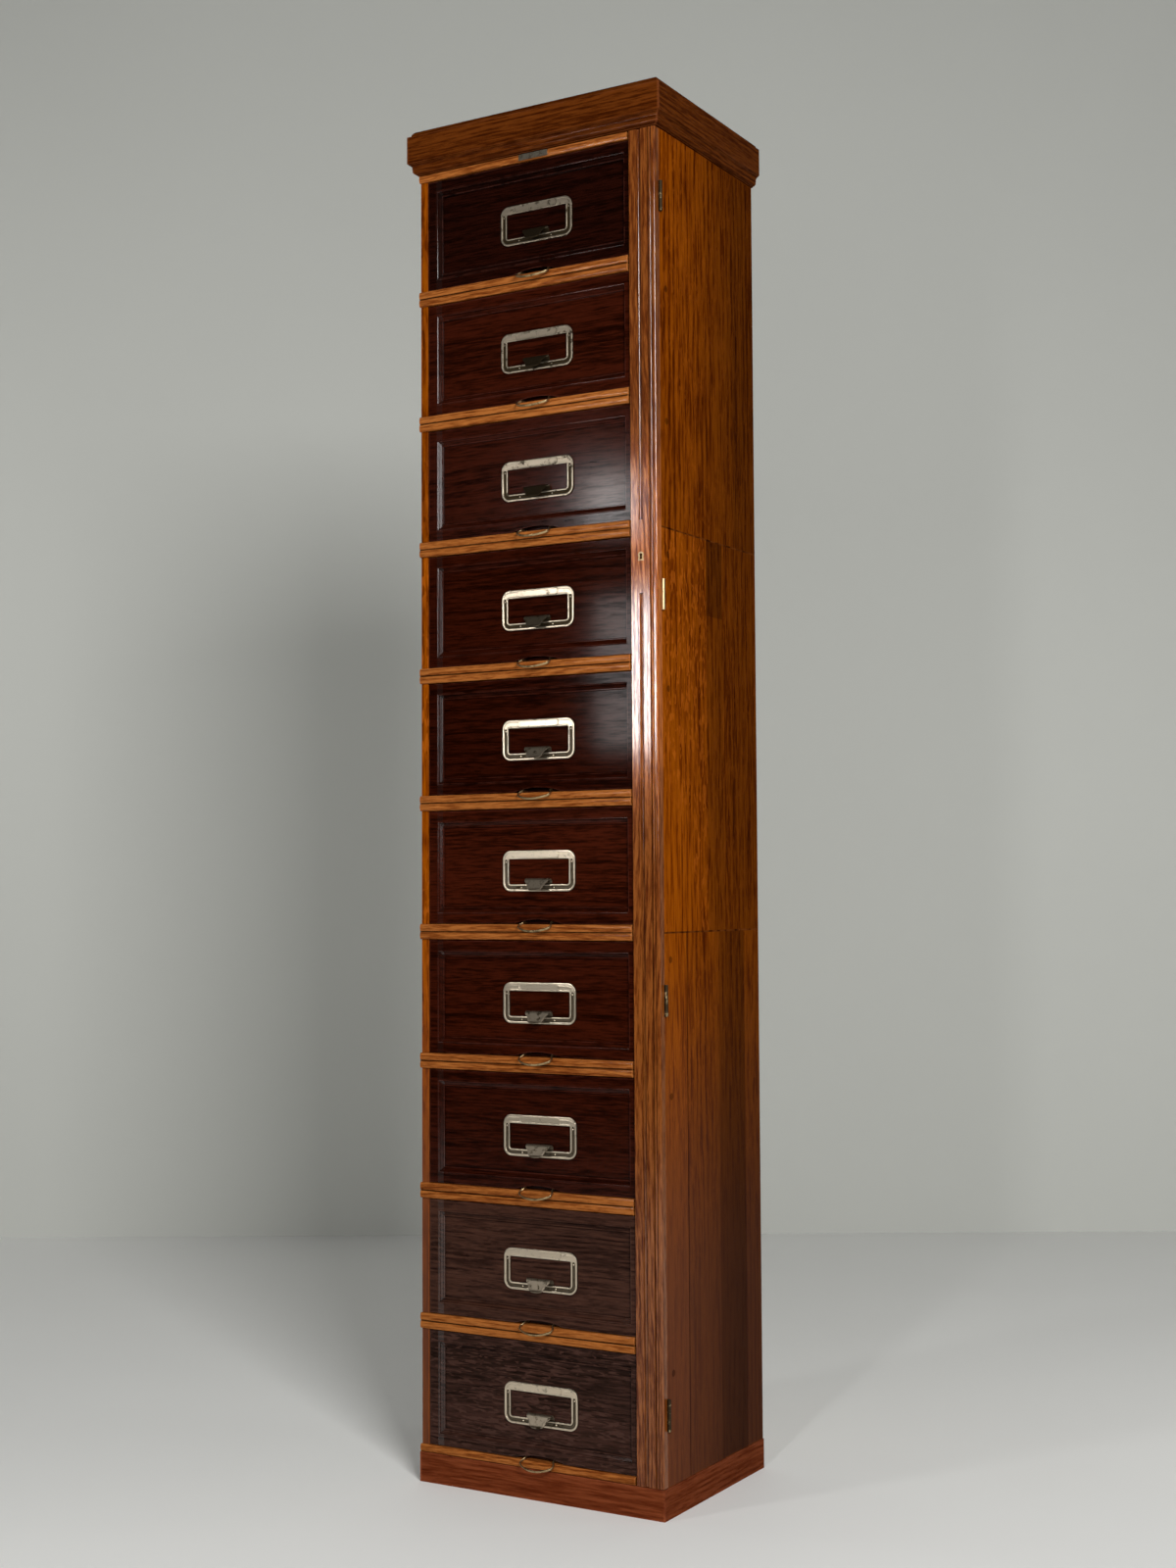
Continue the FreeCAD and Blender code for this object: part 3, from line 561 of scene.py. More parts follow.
@dataclass(frozen=True)
class OldMetal:
    """Metal with high spots worn bright by hands and tarnish in its hollows, and where given
    painted shade by height.

    Args:
        clean: colour of the metal worn bright.
        tarnish: colour in the hollows and on neglected parts.
        rough: roughness of the metal worn bright.
        amount: share of tarnish, 0 to 1.
        hollow_y: y behind which the metal lies in a hollow, or None.
        proud_y: y ahead of which the metal is a dull tab touched by hands, or None.
        bright_z: height of the one piece that is less tarnished, or None.
        painted_shade_z: heights between which the metal is painted darker, as painted shade, or
            None.
    """

    clean: Colour
    tarnish: Colour
    rough: float = 0.28
    amount: float = 0.5
    hollow_y: float | None = None
    proud_y: float | None = None
    bright_z: float | None = None
    painted_shade_z: tuple[float, float] | None = None

    def material(self, name: str) -> Material:
        """The finish as a material."""
        shader = Shader(name)
        cloud = shader.noise(shader.place, 110.0, 4.0, 0.6)
        grit = shader.noise(shader.place, 700.0, 3.0, 0.6)
        closed = shader.closeness(HOLLOW_REACH).ramp(0.95, 0.45)
        clear = 0.70 - 0.4 * self.amount
        stain = (cloud * 0.75 + grit * 0.25).ramp(clear, clear + 0.10 * (1 + self.amount))
        tarnish_and_shade = stain * (0.25 + 0.6 * self.amount) + closed * HOLLOW_TARNISH
        if self.hollow_y is not None:
            behind = shader.y.ramp(self.hollow_y - HOLLOW_BLUR, self.hollow_y + HOLLOW_BLUR)
            tarnish_and_shade = tarnish_and_shade + behind * 0.75
        if self.proud_y is not None:
            ahead = shader.y.ramp(self.proud_y + PROUD_BLUR, self.proud_y - PROUD_BLUR)
            tarnish_and_shade = tarnish_and_shade + ahead * 0.6
        # Painted shade: the metal is painted darker toward the top.
        if self.painted_shade_z is not None:
            tarnish_and_shade = tarnish_and_shade + shader.z.ramp(*self.painted_shade_z) * 0.55
        if self.bright_z is not None:
            tarnish_and_shade = tarnish_and_shade * abs(shader.z - self.bright_z).ramp(*BRIGHT_REACH)
        tarnish_and_shade = tarnish_and_shade.clamp()
        colour = shader.mix(tarnish_and_shade, self.clean, self.tarnish)
        rough = self.rough + tarnish_and_shade * 0.25 + (grit - 0.5) * 0.15
        relief = cloud * 0.4 + grit * 0.6
        return shader.finish(colour, rough, relief, METAL_RELIEF, METAL_ROUNDED, metallic=1.0)


HALF_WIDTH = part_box("plinth_boards")[1].x
FRONT_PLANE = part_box("plinth_boards")[0].y
DRAWERS = tuple(range(1, 11))


def stored(name: str, mesh: Mesh) -> bpy.types.Mesh:
    """A mesh as a data block; the mesh itself is freed."""
    data = bpy.data.meshes.new(name)
    mesh.to_mesh(data)
    mesh.free()
    return data


def linked(name: str, data: bpy.types.ID) -> bpy.types.Object:
    """A new object in the scene."""
    made = bpy.data.objects.new(name, data)
    bpy.context.scene.collection.objects.link(made)
    return made


def merged(parts: Iterable[Mesh]) -> Mesh:
    """One mesh from several, which are freed."""
    whole = bmesh.new()
    for part in parts:
        bits = stored("bits", part)
        whole.from_mesh(bits)
        bpy.data.meshes.remove(bits)
    return whole


def as_piece(name: str, mesh: Mesh, body: str, material: Material,
             smooth_angle: float = 35.0) -> bpy.types.Object:
    """Turn a finished mesh into a piece of the chest.

    Args:
        name: the piece's name.
        mesh: its mesh, in place in the row frame; it is freed.
        body: the CAD body that it rides on.
        material: its finish.
        smooth_angle: edges sharper than this stay sharp, in degrees.

    Returns:
        The object.
    """
    bmesh.ops.recalc_face_normals(mesh, faces=mesh.faces)
    for face in mesh.faces:
        face.smooth = True
    for edge in mesh.edges:
        edge.smooth = edge.is_manifold and edge.calc_face_angle(0.0) < math.radians(smooth_angle)
    data = stored(name, mesh)
    data.materials.append(material)
    piece = linked(name, data)
    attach(piece, body)
    LOG.info("%s: %d faces on %s", name, len(data.polygons), body)
    return piece


def round_plate(width: float, height: float, radius: float) -> Mesh:
    """A flat plate in the XZ plane that faces -Y, its corners rounded."""
    mesh = bmesh.new()
    spread = Matrix.Diagonal((width, height, 1.0, 1.0))
    upright = Matrix.Rotation(math.radians(90), 4, "X") @ spread
    bmesh.ops.create_grid(mesh, x_segments=1, y_segments=1, size=0.5, matrix=upright)
    bmesh.ops.bevel(mesh, geom=list(mesh.verts), offset=radius, offset_type="OFFSET", segments=8,
                    profile=0.5, affect="VERTICES", clamp_overlap=False, material=-1)
    return mesh


def verts_of(made: Sequence[object]) -> list[Vert]:
    """The vertices among what an operator made."""
    return [item for item in made if isinstance(item, Vert)]


def raised_plate(width: float, height: float, radius: float, thick: float, border: float,
                 sunk: float) -> Mesh:
    """A rounded plate that faces -Y, its edges softened.

    Args:
        width, height: its size.
        radius: its corners.
        thick: how far it stands out from y 0.
        border: width of the border round its middle.
        sunk: how far the middle lies in.

    Returns:
        The mesh, open at the back.
    """
    mesh = round_plate(width, height, radius)
    made = bmesh.ops.extrude_face_region(mesh, geom=list(mesh.faces))["geom"]
    bmesh.ops.translate(mesh, verts=verts_of(made), vec=(0, -thick, 0))
    face = next(item for item in made if isinstance(item, Face))
    rim = list(face.edges)
    bmesh.ops.inset_region(mesh, faces=[face], thickness=border, use_even_offset=True)
    rim += face.edges
    bmesh.ops.inset_region(mesh, faces=[face], thickness=sunk, depth=-sunk, use_even_offset=True)
    bmesh.ops.bevel(mesh, geom=rim, offset=thick * 0.4, offset_type="OFFSET", segments=2,
                    profile=0.5, affect="EDGES", clamp_overlap=True, material=-1)
    return mesh


def pin_head(radius: float, height: float, x: float, y: float, z: float) -> Mesh:
    """A domed pin head that faces -Y."""
    mesh = bmesh.new()
    dome = Matrix.Translation((x, y, z)) @ Matrix.Diagonal((1, height / radius, 1, 1))
    bmesh.ops.create_uvsphere(mesh, u_segments=12, v_segments=8, radius=radius, matrix=dome)
    return mesh


def shifted(mesh: Mesh, x: float, y: float, z: float) -> Mesh:
    """The same mesh, moved."""
    bmesh.ops.translate(mesh, verts=mesh.verts, vec=(x, y, z))
    return mesh


@dataclass(frozen=True)
class PressedFrame:
    """Label frame pressed from sheet, about its centre, its back at y 0. In mm.

    Args:
        width, height, corner: its outline.
        bar, top_bar: widths of the side and lower bars, and of the top bar.
        rim, channel: height of the rims, and the channel's depth below them.
        shoulder, point: foot of the channel's tips above the centre, and their length.
        channel_middle: how far in the channel's middle lies.
        section: rings inward: how far in, how deep, and how far up the tips (0: all round).
        title: the bare plate: width, height, corners, rise, border and sunk middle.
        sheet: thickness of the tab.
        tab_half_widths, tab_path: its half width along it, and its steps: length and turn.
        tab_foot: its start, above the window's lower edge.
        tab_round, tab_bulge: length and power of the rounded lip.
        line_from, line_inset, line_width, line_rise: the raised line round the lip.
        pin, pin_rise: the pins' heads.
    """

    width: float = 120.0
    height: float = 58.0
    corner: float = 13.0
    bar: float = 10.0
    top_bar: float = 12.0
    rim: float = 2.6
    channel: float = 1.4
    shoulder: float = 14.0
    point: float = 6.0
    channel_middle: float = 5.5
    section: tuple[tuple[float, float, float], ...] = (
        (0.0, 0.6, 0.0), (0.25, 0.15, 0.0), (0.7, 0.0, 0.0), (2.4, 0.0, 0.0), (2.85, 0.15, 0.0),
        (3.1, 0.6, 0.35), (3.6, 1.4, 0.5), (4.7, 1.4, 1.0), (5.5, 1.4, 1.0), (6.3, 1.4, 1.0),
        (7.4, 1.4, 0.5), (7.9, 0.6, 0.35), (8.1, 0.15, 0.0), (8.5, 0.0, 0.0), (9.5, 0.0, 0.0),
        (9.9, 0.2, 0.0), (10.0, 0.7, 0.0), (10.0, 2.6, 0.0))
    title: tuple[float, ...] = (68.0, 10.2, 4.9, 0.7, 1.0, 0.3)
    sheet: float = 1.1
    tab_half_widths: tuple[tuple[float, float], ...] = (
        (0.0, 22.0), (8.6, 21.0), (14.0, 20.0), (19.0, 19.0), (27.5, 13.4), (30.0, 13.0))
    tab_path: tuple[tuple[float, float], ...] = (
        (8.6, 0.0), (10.3, 155.0), (12.6, 0.0), (2.6, -40.0), (2.4, 0.0))
    tab_foot: float = -5.0
    tab_round: float = 9.5
    tab_bulge: float = 2.2
    line_from: float = 13.0
    line_inset: float = 2.6
    line_width: float = 0.5
    line_rise: float = 0.35
    pin: float = 1.5
    pin_rise: float = 1.3

    def build(self) -> Mesh:
        """The whole frame."""
        low = -self.height / 2 + self.channel_middle
        side = self.width / 2 - self.channel_middle
        heads = [pin_head(self.pin, self.pin_rise, x, self.channel - self.rim, z)
                 for x, z in ((-side, 13.0), (side, 13.0), (-29.0, low), (25.0, low))]
        title = shifted(raised_plate(*self.title), 0, -self.rim, (self.height - self.top_bar) / 2)
        return merged([self.rings(), title, self.tab(), *heads])

    def rings(self) -> Mesh:
        """Rims and channel, as rings drawn inward one by one and closed at the back."""
        mesh = round_plate(self.width, self.height, self.corner)
        bmesh.ops.delete(mesh, geom=list(mesh.faces), context="FACES_ONLY")
        for share in (0.0, 0.25, 0.5, 0.75, 1.0):
            cut = (0, 0, self.shoulder + share * self.point)
            bmesh.ops.bisect_plane(mesh, geom=[*mesh.verts, *mesh.edges], dist=1e-4,
                                   plane_co=cut, plane_no=(0, 0, 1))
        loop = list(mesh.edges)
        first = list(loop)
        before = 0.0
        for inward, deep, reach in self.section:
            made = bmesh.ops.extrude_edge_only(mesh, edges=loop)["geom"]
            loop = [item for item in made if isinstance(item, Edge)]
            for vert in verts_of(made):
                self.set_in(vert, before, inward, deep - self.rim, reach)
            before = inward
        bmesh.ops.bridge_loops(mesh, edges=first + loop)
        return mesh

    def set_in(self, vert: Vert, before: float, inward: float, depth: float, reach: float) -> None:
        """Move a ring's vertex inward and to its depth.

        Args:
            vert: the vertex, still on the last ring.
            before: how far in the last ring lies.
            inward: how far in this ring lies.
            depth: its y in the channel.
            reach: how far up the channel's pointed tip this ring goes; 0 is all the way round.
        """
        limits = (self.width / 2 - self.corner, self.height / 2 - self.corner)
        x, z = (max(-limit, min(limit, value))
                for limit, value in zip(limits, (vert.co.x, vert.co.z)))
        core = Vector((x, 0, z))
        flat = Vector((vert.co.x, 0, vert.co.z))
        out = (flat - core).normalized()
        wider = 1 + (self.top_bar / self.bar - 1) * max(0.0, out.z)
        place = flat - out * (inward - before) * wider
        vert.co = (place.x, depth, place.z)
        if reach and core.z + self.corner * out.z > self.shoulder + (reach - 0.5) * self.point:
            vert.co.y = -self.rim

    def tab(self) -> Mesh:
        """Sheet tab: up behind the lower bar, over a crest and down to a rounded, lined lip."""
        mesh = bmesh.new()
        bmesh.ops.create_grid(mesh, x_segments=20, y_segments=40, size=1.0)
        length = sum(step for step, _ in self.tab_path)
        for vert in mesh.verts:
            across = vert.co.x
            along = (vert.co.y + 1) / 2 * length
            ahead, up, lift_y, lift_z = self.on_path(along)
            half = self.half_width(along, length)
            line = 0.0
            if along > self.line_from:
                edge = min((1 - abs(across)) * half, length - along)
                line = math.exp(-((edge - self.line_inset) / self.line_width) ** 2) * self.line_rise
            vert.co = (across * half, -ahead - lift_y * line, up + lift_z * line)
        bmesh.ops.remove_doubles(mesh, verts=mesh.verts, dist=0.02)
        bmesh.ops.recalc_face_normals(mesh, faces=mesh.faces)
        bmesh.ops.solidify(mesh, geom=list(mesh.faces), thickness=self.sheet)
        return shifted(mesh, 0, 0, -self.height / 2 + self.bar)

    def half_width(self, along: float, length: float) -> float:
        """Half the tab's width at a distance along the sheet."""
        for (start, wide), (end, slim) in zip(self.tab_half_widths, self.tab_half_widths[1:]):
            if along <= end:
                share = (along - start) / (end - start)
                share = share * share * (3 - 2 * share)
                half = wide + (slim - wide) * share
                break
        else:
            half = self.tab_half_widths[-1][1]
        round_from = length - self.tab_round
        if along > round_from:
            share = min(1.0, (along - round_from) / self.tab_round)
            half *= math.sqrt(max(0.0, 1 - share ** self.tab_bulge)) * 0.999 + 0.001
        return half

    def on_path(self, along: float) -> tuple[float, float, float, float]:
        """Place and outward direction of the sheet's middle at a distance along it."""
        ahead, up, heading = self.sheet * 0.55, self.tab_foot, 90.0
        for step, turn in self.tab_path:
            part = min(step, along)
            angle = math.radians(heading)
            if turn:
                radius = step / math.radians(abs(turn))
                swing = math.radians(turn) * part / step
                side = 1 if turn > 0 else -1
                now = angle - swing
                ahead += side * radius * (math.sin(angle) - math.sin(now))
                up -= side * radius * (math.cos(angle) - math.cos(now))
                heading -= turn * part / step
            else:
                ahead += part * math.cos(angle)
                up += part * math.sin(angle)
            along -= part
            if along <= 0:
                break
        angle = math.radians(heading)
        return ahead, up, -math.sin(angle), math.cos(angle)


@dataclass
class StripBend:
    """A flat strip bent step by step: straight runs and turns of its end section."""

    mesh: Mesh
    end: list[Vert]

    @classmethod
    def start(cls, thick: float, wide: float, place: Sequence[float]) -> StripBend:
        """Begin with the rounded section of a strip that will run toward -Y."""
        mesh = round_plate(thick, wide, thick * 0.35)
        shifted(mesh, *place)
        return cls(mesh, list(mesh.verts))

    def _section(self) -> list[object]:
        """Faces, edges and vertices of the end section."""
        verts = set(self.end)
        edges = [edge for edge in self.mesh.edges if verts.issuperset(edge.verts)]
        faces = [face for face in self.mesh.faces if verts.issuperset(face.verts)]
        return [*faces, *edges, *self.end]

    def run(self, way: Vector) -> None:
        """Carry the section straight on."""
        made = bmesh.ops.extrude_face_region(self.mesh, geom=self._section())["geom"]
        self.end = verts_of(made)
        bmesh.ops.translate(self.mesh, verts=self.end, vec=way)

    def turn(self, centre: Vector, axis: Vector, angle: float, steps: int) -> None:
        """Carry the section round an axis, by an angle in degrees."""
        step = Matrix.Rotation(math.radians(angle / steps), 3, axis)
        for _ in range(steps):
            self.run(Vector((0, 0, 0)))
            bmesh.ops.rotate(self.mesh, verts=self.end, cent=centre, matrix=step)


@dataclass(frozen=True)
class LoopPull:
    """Bent strip under each drawer front. In mm, about the bottom edge of the drawer's opening.

    Args:
        half_width: from the middle to a leg.
        thick, wide: the strip's section.
        reach: front of the loop, from the drawer's face.
        tilt, bend: slope of the loop and radius of the bend down to it.
        flare, flare_radius, flare_run: how the legs spread after the bend.
        corner, corner_turn: radius and turn of the corners into the bow.
        leg_z: middle of the legs.
        root: length of a leg behind the face.
    """

    half_width: float = 23.0
    thick: float = 1.7
    wide: float = 3.1
    reach: float = 19.6
    tilt: float = 35.0
    bend: float = 3.2
    flare: float = 36.0
    flare_radius: float = 3.0
    flare_run: float = 3.0
    corner: float = 6.5
    corner_turn: float = 55.0
    leg_z: float = 3.2
    root: float = 12.0

    def build(self) -> Mesh:
        """The loop, with y 0 at the drawer's face."""
        tilt, flare, turn = map(math.radians, (self.tilt, self.flare, self.corner_turn))
        ahead = Vector((0, -math.cos(tilt), -math.sin(tilt)))
        square = Vector((0, -math.sin(tilt), math.cos(tilt)))
        across = Vector((1, 0, 0))
        round_in = self.flare_radius + self.corner
        wide = self.half_width + round_in * (1 - math.cos(flare)) + self.flare_run * math.sin(flare)
        bow = (wide - self.corner * (1 - math.cos(turn))) / math.cos(turn)
        flared = round_in * math.sin(flare) + self.flare_run * math.cos(flare)
        depth = flared + self.corner * math.sin(turn) + bow * (1 - math.sin(turn))
        half = (self.thick * math.cos(tilt) + self.wide * math.sin(tilt)) / 2
        bend_y = -self.reach + half + depth * math.cos(tilt)
        leg_y = bend_y + self.bend * math.sin(tilt)
        bend_z = self.leg_z - self.bend
        start = Vector((0, bend_y, bend_z + self.bend * math.cos(tilt)))
        widest = start + ahead * flared
        flare_centre = across * (self.half_width + self.flare_radius)
        corner_centre = across * (wide - self.corner)
        outward = across * math.sin(flare) * self.flare_run
        run = ahead * math.cos(flare) * self.flare_run
        strip = StripBend.start(self.thick, self.wide, (-self.half_width, self.root, self.leg_z))
        strip.run(Vector((0, leg_y - self.root, 0)))
        strip.turn(Vector((-self.half_width, leg_y, bend_z)), across, self.tilt, 5)
        strip.turn(start - flare_centre, square, -self.flare, 4)
        strip.run(run - outward)
        strip.turn(widest - corner_centre, square, self.flare + self.corner_turn, 10)
        bow_centre = widest + ahead * (self.corner * math.sin(turn) - bow * math.sin(turn))
        strip.turn(bow_centre, square, 180 - 2 * self.corner_turn, 14)
        strip.turn(widest + corner_centre, square, self.flare + self.corner_turn, 10)
        strip.run(-run - outward)
        strip.turn(start + flare_centre, square, -self.flare, 4)
        strip.turn(Vector((self.half_width, leg_y, bend_z)), across, -self.tilt, 5)
        strip.run(Vector((0, self.root - leg_y, 0)))
        return strip.mesh


def paint(name: str, material: Material) -> None:
    """Give a CAD node one finish."""
    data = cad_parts[name].data
    data.materials.clear()
    data.materials.append(material)
    LOG.info("%s dressed as %s", name, material.name)


@dataclass
class Case:
    """Plinth, panels, rails, cornice, top and the inside framing.

    Args:
        section_joints: heights at which the stacked sections meet.
        lowest_floor, pitch: height of the tenth drawer's opening, and from drawer to drawer.
        quirk: height of the first rail's middle groove.
        plug_rails: rails, from the top, that have a plug in the side panel.
        plug_back, plug_drop: a plug's distance from the front and below its opening.
    """

    section_joints: tuple[float, float] = (0.788, 1.3475)
    lowest_floor: float = 0.053
    pitch: float = 0.1865
    quirk: float = 0.042
    plug_rails: tuple[int, ...] = (1, 2, 3, 4, 6, 7, 9)
    plug_back: float = 0.030
    plug_drop: float = 0.048

    def dress(self) -> None:
        """Give every fixed wooden node its finish."""
        side = self.side_tone()
        # Painted shade along the rails' middle groove.
        rails = BoardTone(groove_shade=(self.quirk, self.pitch))
        for name, material in {
            "plinth_boards": PLINTH_OAK.material("oak_plinth", Axis.X, 0.7, Axis.Y),
            "side_panels_left": SIDE_OAK.material("oak_side_left", Axis.Z, 2.1, tone=side),
            "side_panels_right": SIDE_OAK.material("oak_side_right", Axis.Z, 4.4, tone=side),
            "front_rails": RAIL_OAK.material("oak_rails", Axis.X, 1.3, tone=rails),
            "cornice_moulding": CORNICE_OAK.material("oak_cornice", Axis.X, 3.2, Axis.Y),
            "top_board": TOP_OAK.material("oak_top", Axis.X, 5.0),
            "back_panels": INSIDE_WOOD.material("pine_back", Axis.Z, 0.2),
            "dust_boards": INSIDE_WOOD.material("pine_dust_boards", Axis.X, 0.9),
            "drawer_runners": INSIDE_WOOD.material("pine_runners", Axis.Y, 1.6),
            "drawer_stops": INSIDE_WOOD.material("pine_stops", Axis.X, 2.3),
            "guide_post": INSIDE_WOOD.material("pine_post", Axis.Z, 2.8),
        }.items():
            paint(name, material)

    def side_tone(self) -> BoardTone:
        """Boards, joints and plugs of a side, and its dull foot."""
        low, high = self.section_joints
        split = low + 0.45
        figured = Board((-0.2, 0.0), (low, high), 1.16)
        boards = (figured,
                  Board((0.0, 0.05), (split, high), 0.55), Board((0.0, 0.05), (low, split), 0.85),
                  Board((0.09, 0.2), (high, 2.0), 0.85), Board((-0.2, -0.068), (0.0, low), 1.15),
                  Board((-0.068, -0.066), (0.0, low), 0.35), Board((0.03, 0.112), (0.0, low), 0.75),
                  Board((0.112, 0.2), (0.0, low), 1.3))
        across = FRONT_PLANE + self.plug_back
        lowest = self.lowest_floor - self.plug_drop
        plugs = tuple((across, lowest + (len(DRAWERS) - rail) * self.pitch)
                      for rail in self.plug_rails)
        return BoardTone(1.2, 0.62, boards, figured, self.section_joints, plugs,
                         dull=srgb(70, 41, 29), dull_share=0.8, dull_from=0.85, dull_to=0.25)


@dataclass
class Ironwork:
    """Hinges, lock, escutcheon and the bare plate of the top rail."""

    def dress(self) -> None:
        """Give every metal node of the case and stile its finish."""
        for metal, material, names in (
                (OLD_BRASS, "brass_hinges", ("hinge_side_leaves", "hinge_stile_leaves")),
                (LOCK_IRON, "iron_lock", ("lock_case", "lock_bolt", "strike_plate")),
                (PALE_BRASS, "brass_escutcheon", ("keyhole_escutcheon",)),
                (DULL_NICKEL, "nickel_plate", ("blank_plate",))):
            finish = metal.material(material)
            for name in names:
                paint(name, finish)


@dataclass
class LockStile:
    """The hinged stile.

    Args:
        handled_and_sheen: heights between which it is painted brighter, partly paled by hands and
            partly the painted sheen of the lamp's streak, and the brightness there.
    """

    handled_and_sheen: tuple[float, float, float] = (1.04, 1.40, 2.3)

    def dress(self) -> None:
        """Give the stile its finish."""
        # The stile's brighter stretch is partly hand-paled wood and partly a painted sheen.
        tone = BoardTone(handled_and_sheen=self.handled_and_sheen)
        paint("lock_stile", STILE_OAK.material("oak_stile", Axis.Z, 6.1, tone=tone))


@dataclass
class Drawer:
    """One drawer.

    Args:
        number: its place from the top.
        polished: x between which its left moulding is polished bright.
    """

    number: int
    polished: tuple[float, float] = (-0.1715, -0.1615)

    @property
    def body(self) -> str:
        """The body that the drawer's pieces ride on, and the start of their names."""
        return f"drawer_{self.number:02d}"

    def dress(self, nickel: Material, wire: Material, box: Material) -> None:
        """Give the drawer's nodes their finishes."""
        oak, gain = FRONT_OAKS[self.number - 1], FRONT_GAINS[self.number - 1]
        front = oak.material(f"oak_front_{self.number:02d}", Axis.X, 1.0 + 0.37 * self.number,
                             tone=BoardTone(gain, polished=self.polished))
        for part, material in (("front", front), ("box", box), ("label_frame", nickel),
                               ("loop_pull", wire)):
            paint(f"{self.body}_{part}", material)

    def fit(self, nickel: Material, wire: Material) -> None:
        """Put on the pressed label frame and the bent loop, in place of the plain solids."""
        low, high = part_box(f"{self.body}_label_frame")
        middle = ((low.x + high.x) / 2, high.y, (low.z + high.z) / 2)
        self.place("pressed_frame", PressedFrame().build(), middle, "nickel", nickel, "label_frame")
        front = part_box(f"{self.body}_front")[0]
        edge = (0, front.y, front.z - MM)
        self.place("bent_loop", LoopPull().build(), edge, "wire", wire, "loop_pull")

    def place(self, name: str, mesh: Mesh, at: Sequence[float], slot: str, material: Material,
              node: str) -> None:
        """Bring a piece made in mm to its place and let it stand for a node.

        Args:
            name: the piece's name, after the drawer's.
            mesh: its mesh.
            at: where its own zero comes, in metres.
            slot: the record's material slot; not used.
            material: its finish.
            node: the CAD node that it stands for, after the drawer's name.
        """
        bmesh.ops.scale(mesh, vec=(MM, MM, MM), verts=mesh.verts)
        piece = as_piece(f"{self.body}_{name}", shifted(mesh, *at), self.body, material)
        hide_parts(f"{self.body}_{node}")


SIDE_OAK = Oak(srgb(54, 17, 0), srgb(86, 34, 0), srgb(118, 57, 2), Cut.QUARTER, rough=0.5,
               pores=0.3, flecks=0.5, rings=0.011, coat=0.05, fibre=150.0,
               fleck_rate=(56.0, 190.0))
RAIL_OAK = Oak(srgb(86, 38, 10), srgb(120, 64, 24), srgb(154, 92, 42), rough=0.42, pores=0.6,
               coat=0.1, fibre=330.0)
CORNICE_OAK = Oak(srgb(46, 15, 1), srgb(64, 26, 4), srgb(88, 42, 10), rough=0.40, pores=0.5,
                  coat=0.1, fibre=260.0)
TOP_OAK = replace(CORNICE_OAK, rough=0.6, coat=0.01)
STILE_OAK = Oak(srgb(64, 24, 5), srgb(92, 43, 10), srgb(124, 68, 24), rough=0.36, pores=0.5,
                coat=1.0, polish=0.10, fibre=330.0, wear_and_highlight=0.2, craze=0.25)
PLINTH_OAK = Oak(srgb(74, 28, 10), srgb(94, 42, 20), srgb(112, 55, 29), rough=0.5, pores=0.4,
                 coat=0.05)
INSIDE_WOOD = Oak(srgb(104, 68, 38), srgb(140, 98, 60), srgb(168, 124, 82), rough=0.7, pores=0.3,
                  coat=0.0, gloss=0.2, wear_and_highlight=0.0)
DARK_FRONT = Oak(srgb(20, 3, 0), srgb(36, 8, 1), srgb(56, 17, 5), rough=0.36, pores=0.4,
                 rings=0.014, coat=0.3, polish=0.08, fibre=300.0, wear_and_highlight=0.7)
SHINY_FRONT = replace(DARK_FRONT, coat=0.35, polish=0.12, craze=1.2)
DULL_FRONT = replace(DARK_FRONT, coat=0.08)
GREY_FRONT = Oak(srgb(29, 13, 8), srgb(44, 25, 18), srgb(62, 37, 27), Cut.QUARTER, rough=0.42,
                 pores=0.6, flecks=0.2, coat=0.15, fibre=200.0,
                 fleck_rate=(50.0, 300.0), wear_and_highlight=0.6)
FLECKED_FRONT = replace(GREY_FRONT, dark=srgb(22, 10, 6), mid=srgb(35, 20, 14),
                        light=srgb(52, 31, 24), flecks=0.8)
FRONT_OAKS = (DARK_FRONT, DARK_FRONT, SHINY_FRONT, DULL_FRONT, DULL_FRONT,
              DARK_FRONT, DARK_FRONT, DARK_FRONT, GREY_FRONT, FLECKED_FRONT)
FRONT_GAINS = (0.3, 0.8, 0.7, 0.62, 0.55, 1.0, 0.8, 0.7, 0.95, 0.95)
FRAME_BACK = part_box("drawer_01_label_frame")[1].y
# The upper label frames are painted darker: painted shade.
AGED_NICKEL = OldMetal(srgb(214, 198, 175), srgb(56, 46, 32), 0.30, 0.42, painted_shade_z=(0.9, 1.7),
                       hollow_y=FRAME_BACK - 1.8 * MM, proud_y=FRAME_BACK - 4.2 * MM)
DULL_NICKEL = OldMetal(srgb(130, 122, 108), srgb(60, 50, 38), 0.40, 0.7)
WORN_WIRE = OldMetal(srgb(176, 152, 112), srgb(44, 34, 24), 0.32, 0.6)
OLD_BRASS = OldMetal(srgb(190, 168, 126), srgb(30, 18, 10), 0.40, 1.0, bright_z=1.25)
PALE_BRASS = OldMetal(srgb(176, 150, 108), srgb(92, 66, 34), 0.45, 0.5)
LOCK_IRON = OldMetal(srgb(96, 92, 86), srgb(36, 30, 26), 0.45, 0.8)


@dataclass(frozen=True)
class Lamp:
    """A rectangular lamp: its place, what it points at, its size, its power and its spread."""

    name: str
    place: tuple[float, float, float]
    aim: tuple[float, float, float]
    size: tuple[float, float]
    power: float
    spread: float = 180.0

    def hang(self) -> None:
        """Put the lamp in the scene."""
        data = bpy.data.lights.new(self.name, "AREA")
        data.shape, data.energy, data.spread = "RECTANGLE", self.power, math.radians(self.spread)
        data.size, data.size_y = self.size
        lamp = linked(self.name, data)
        lamp.location = self.place
        way = Vector(self.aim) - Vector(self.place)
        lamp.rotation_euler = way.to_track_quat("-Z", "Y").to_euler()


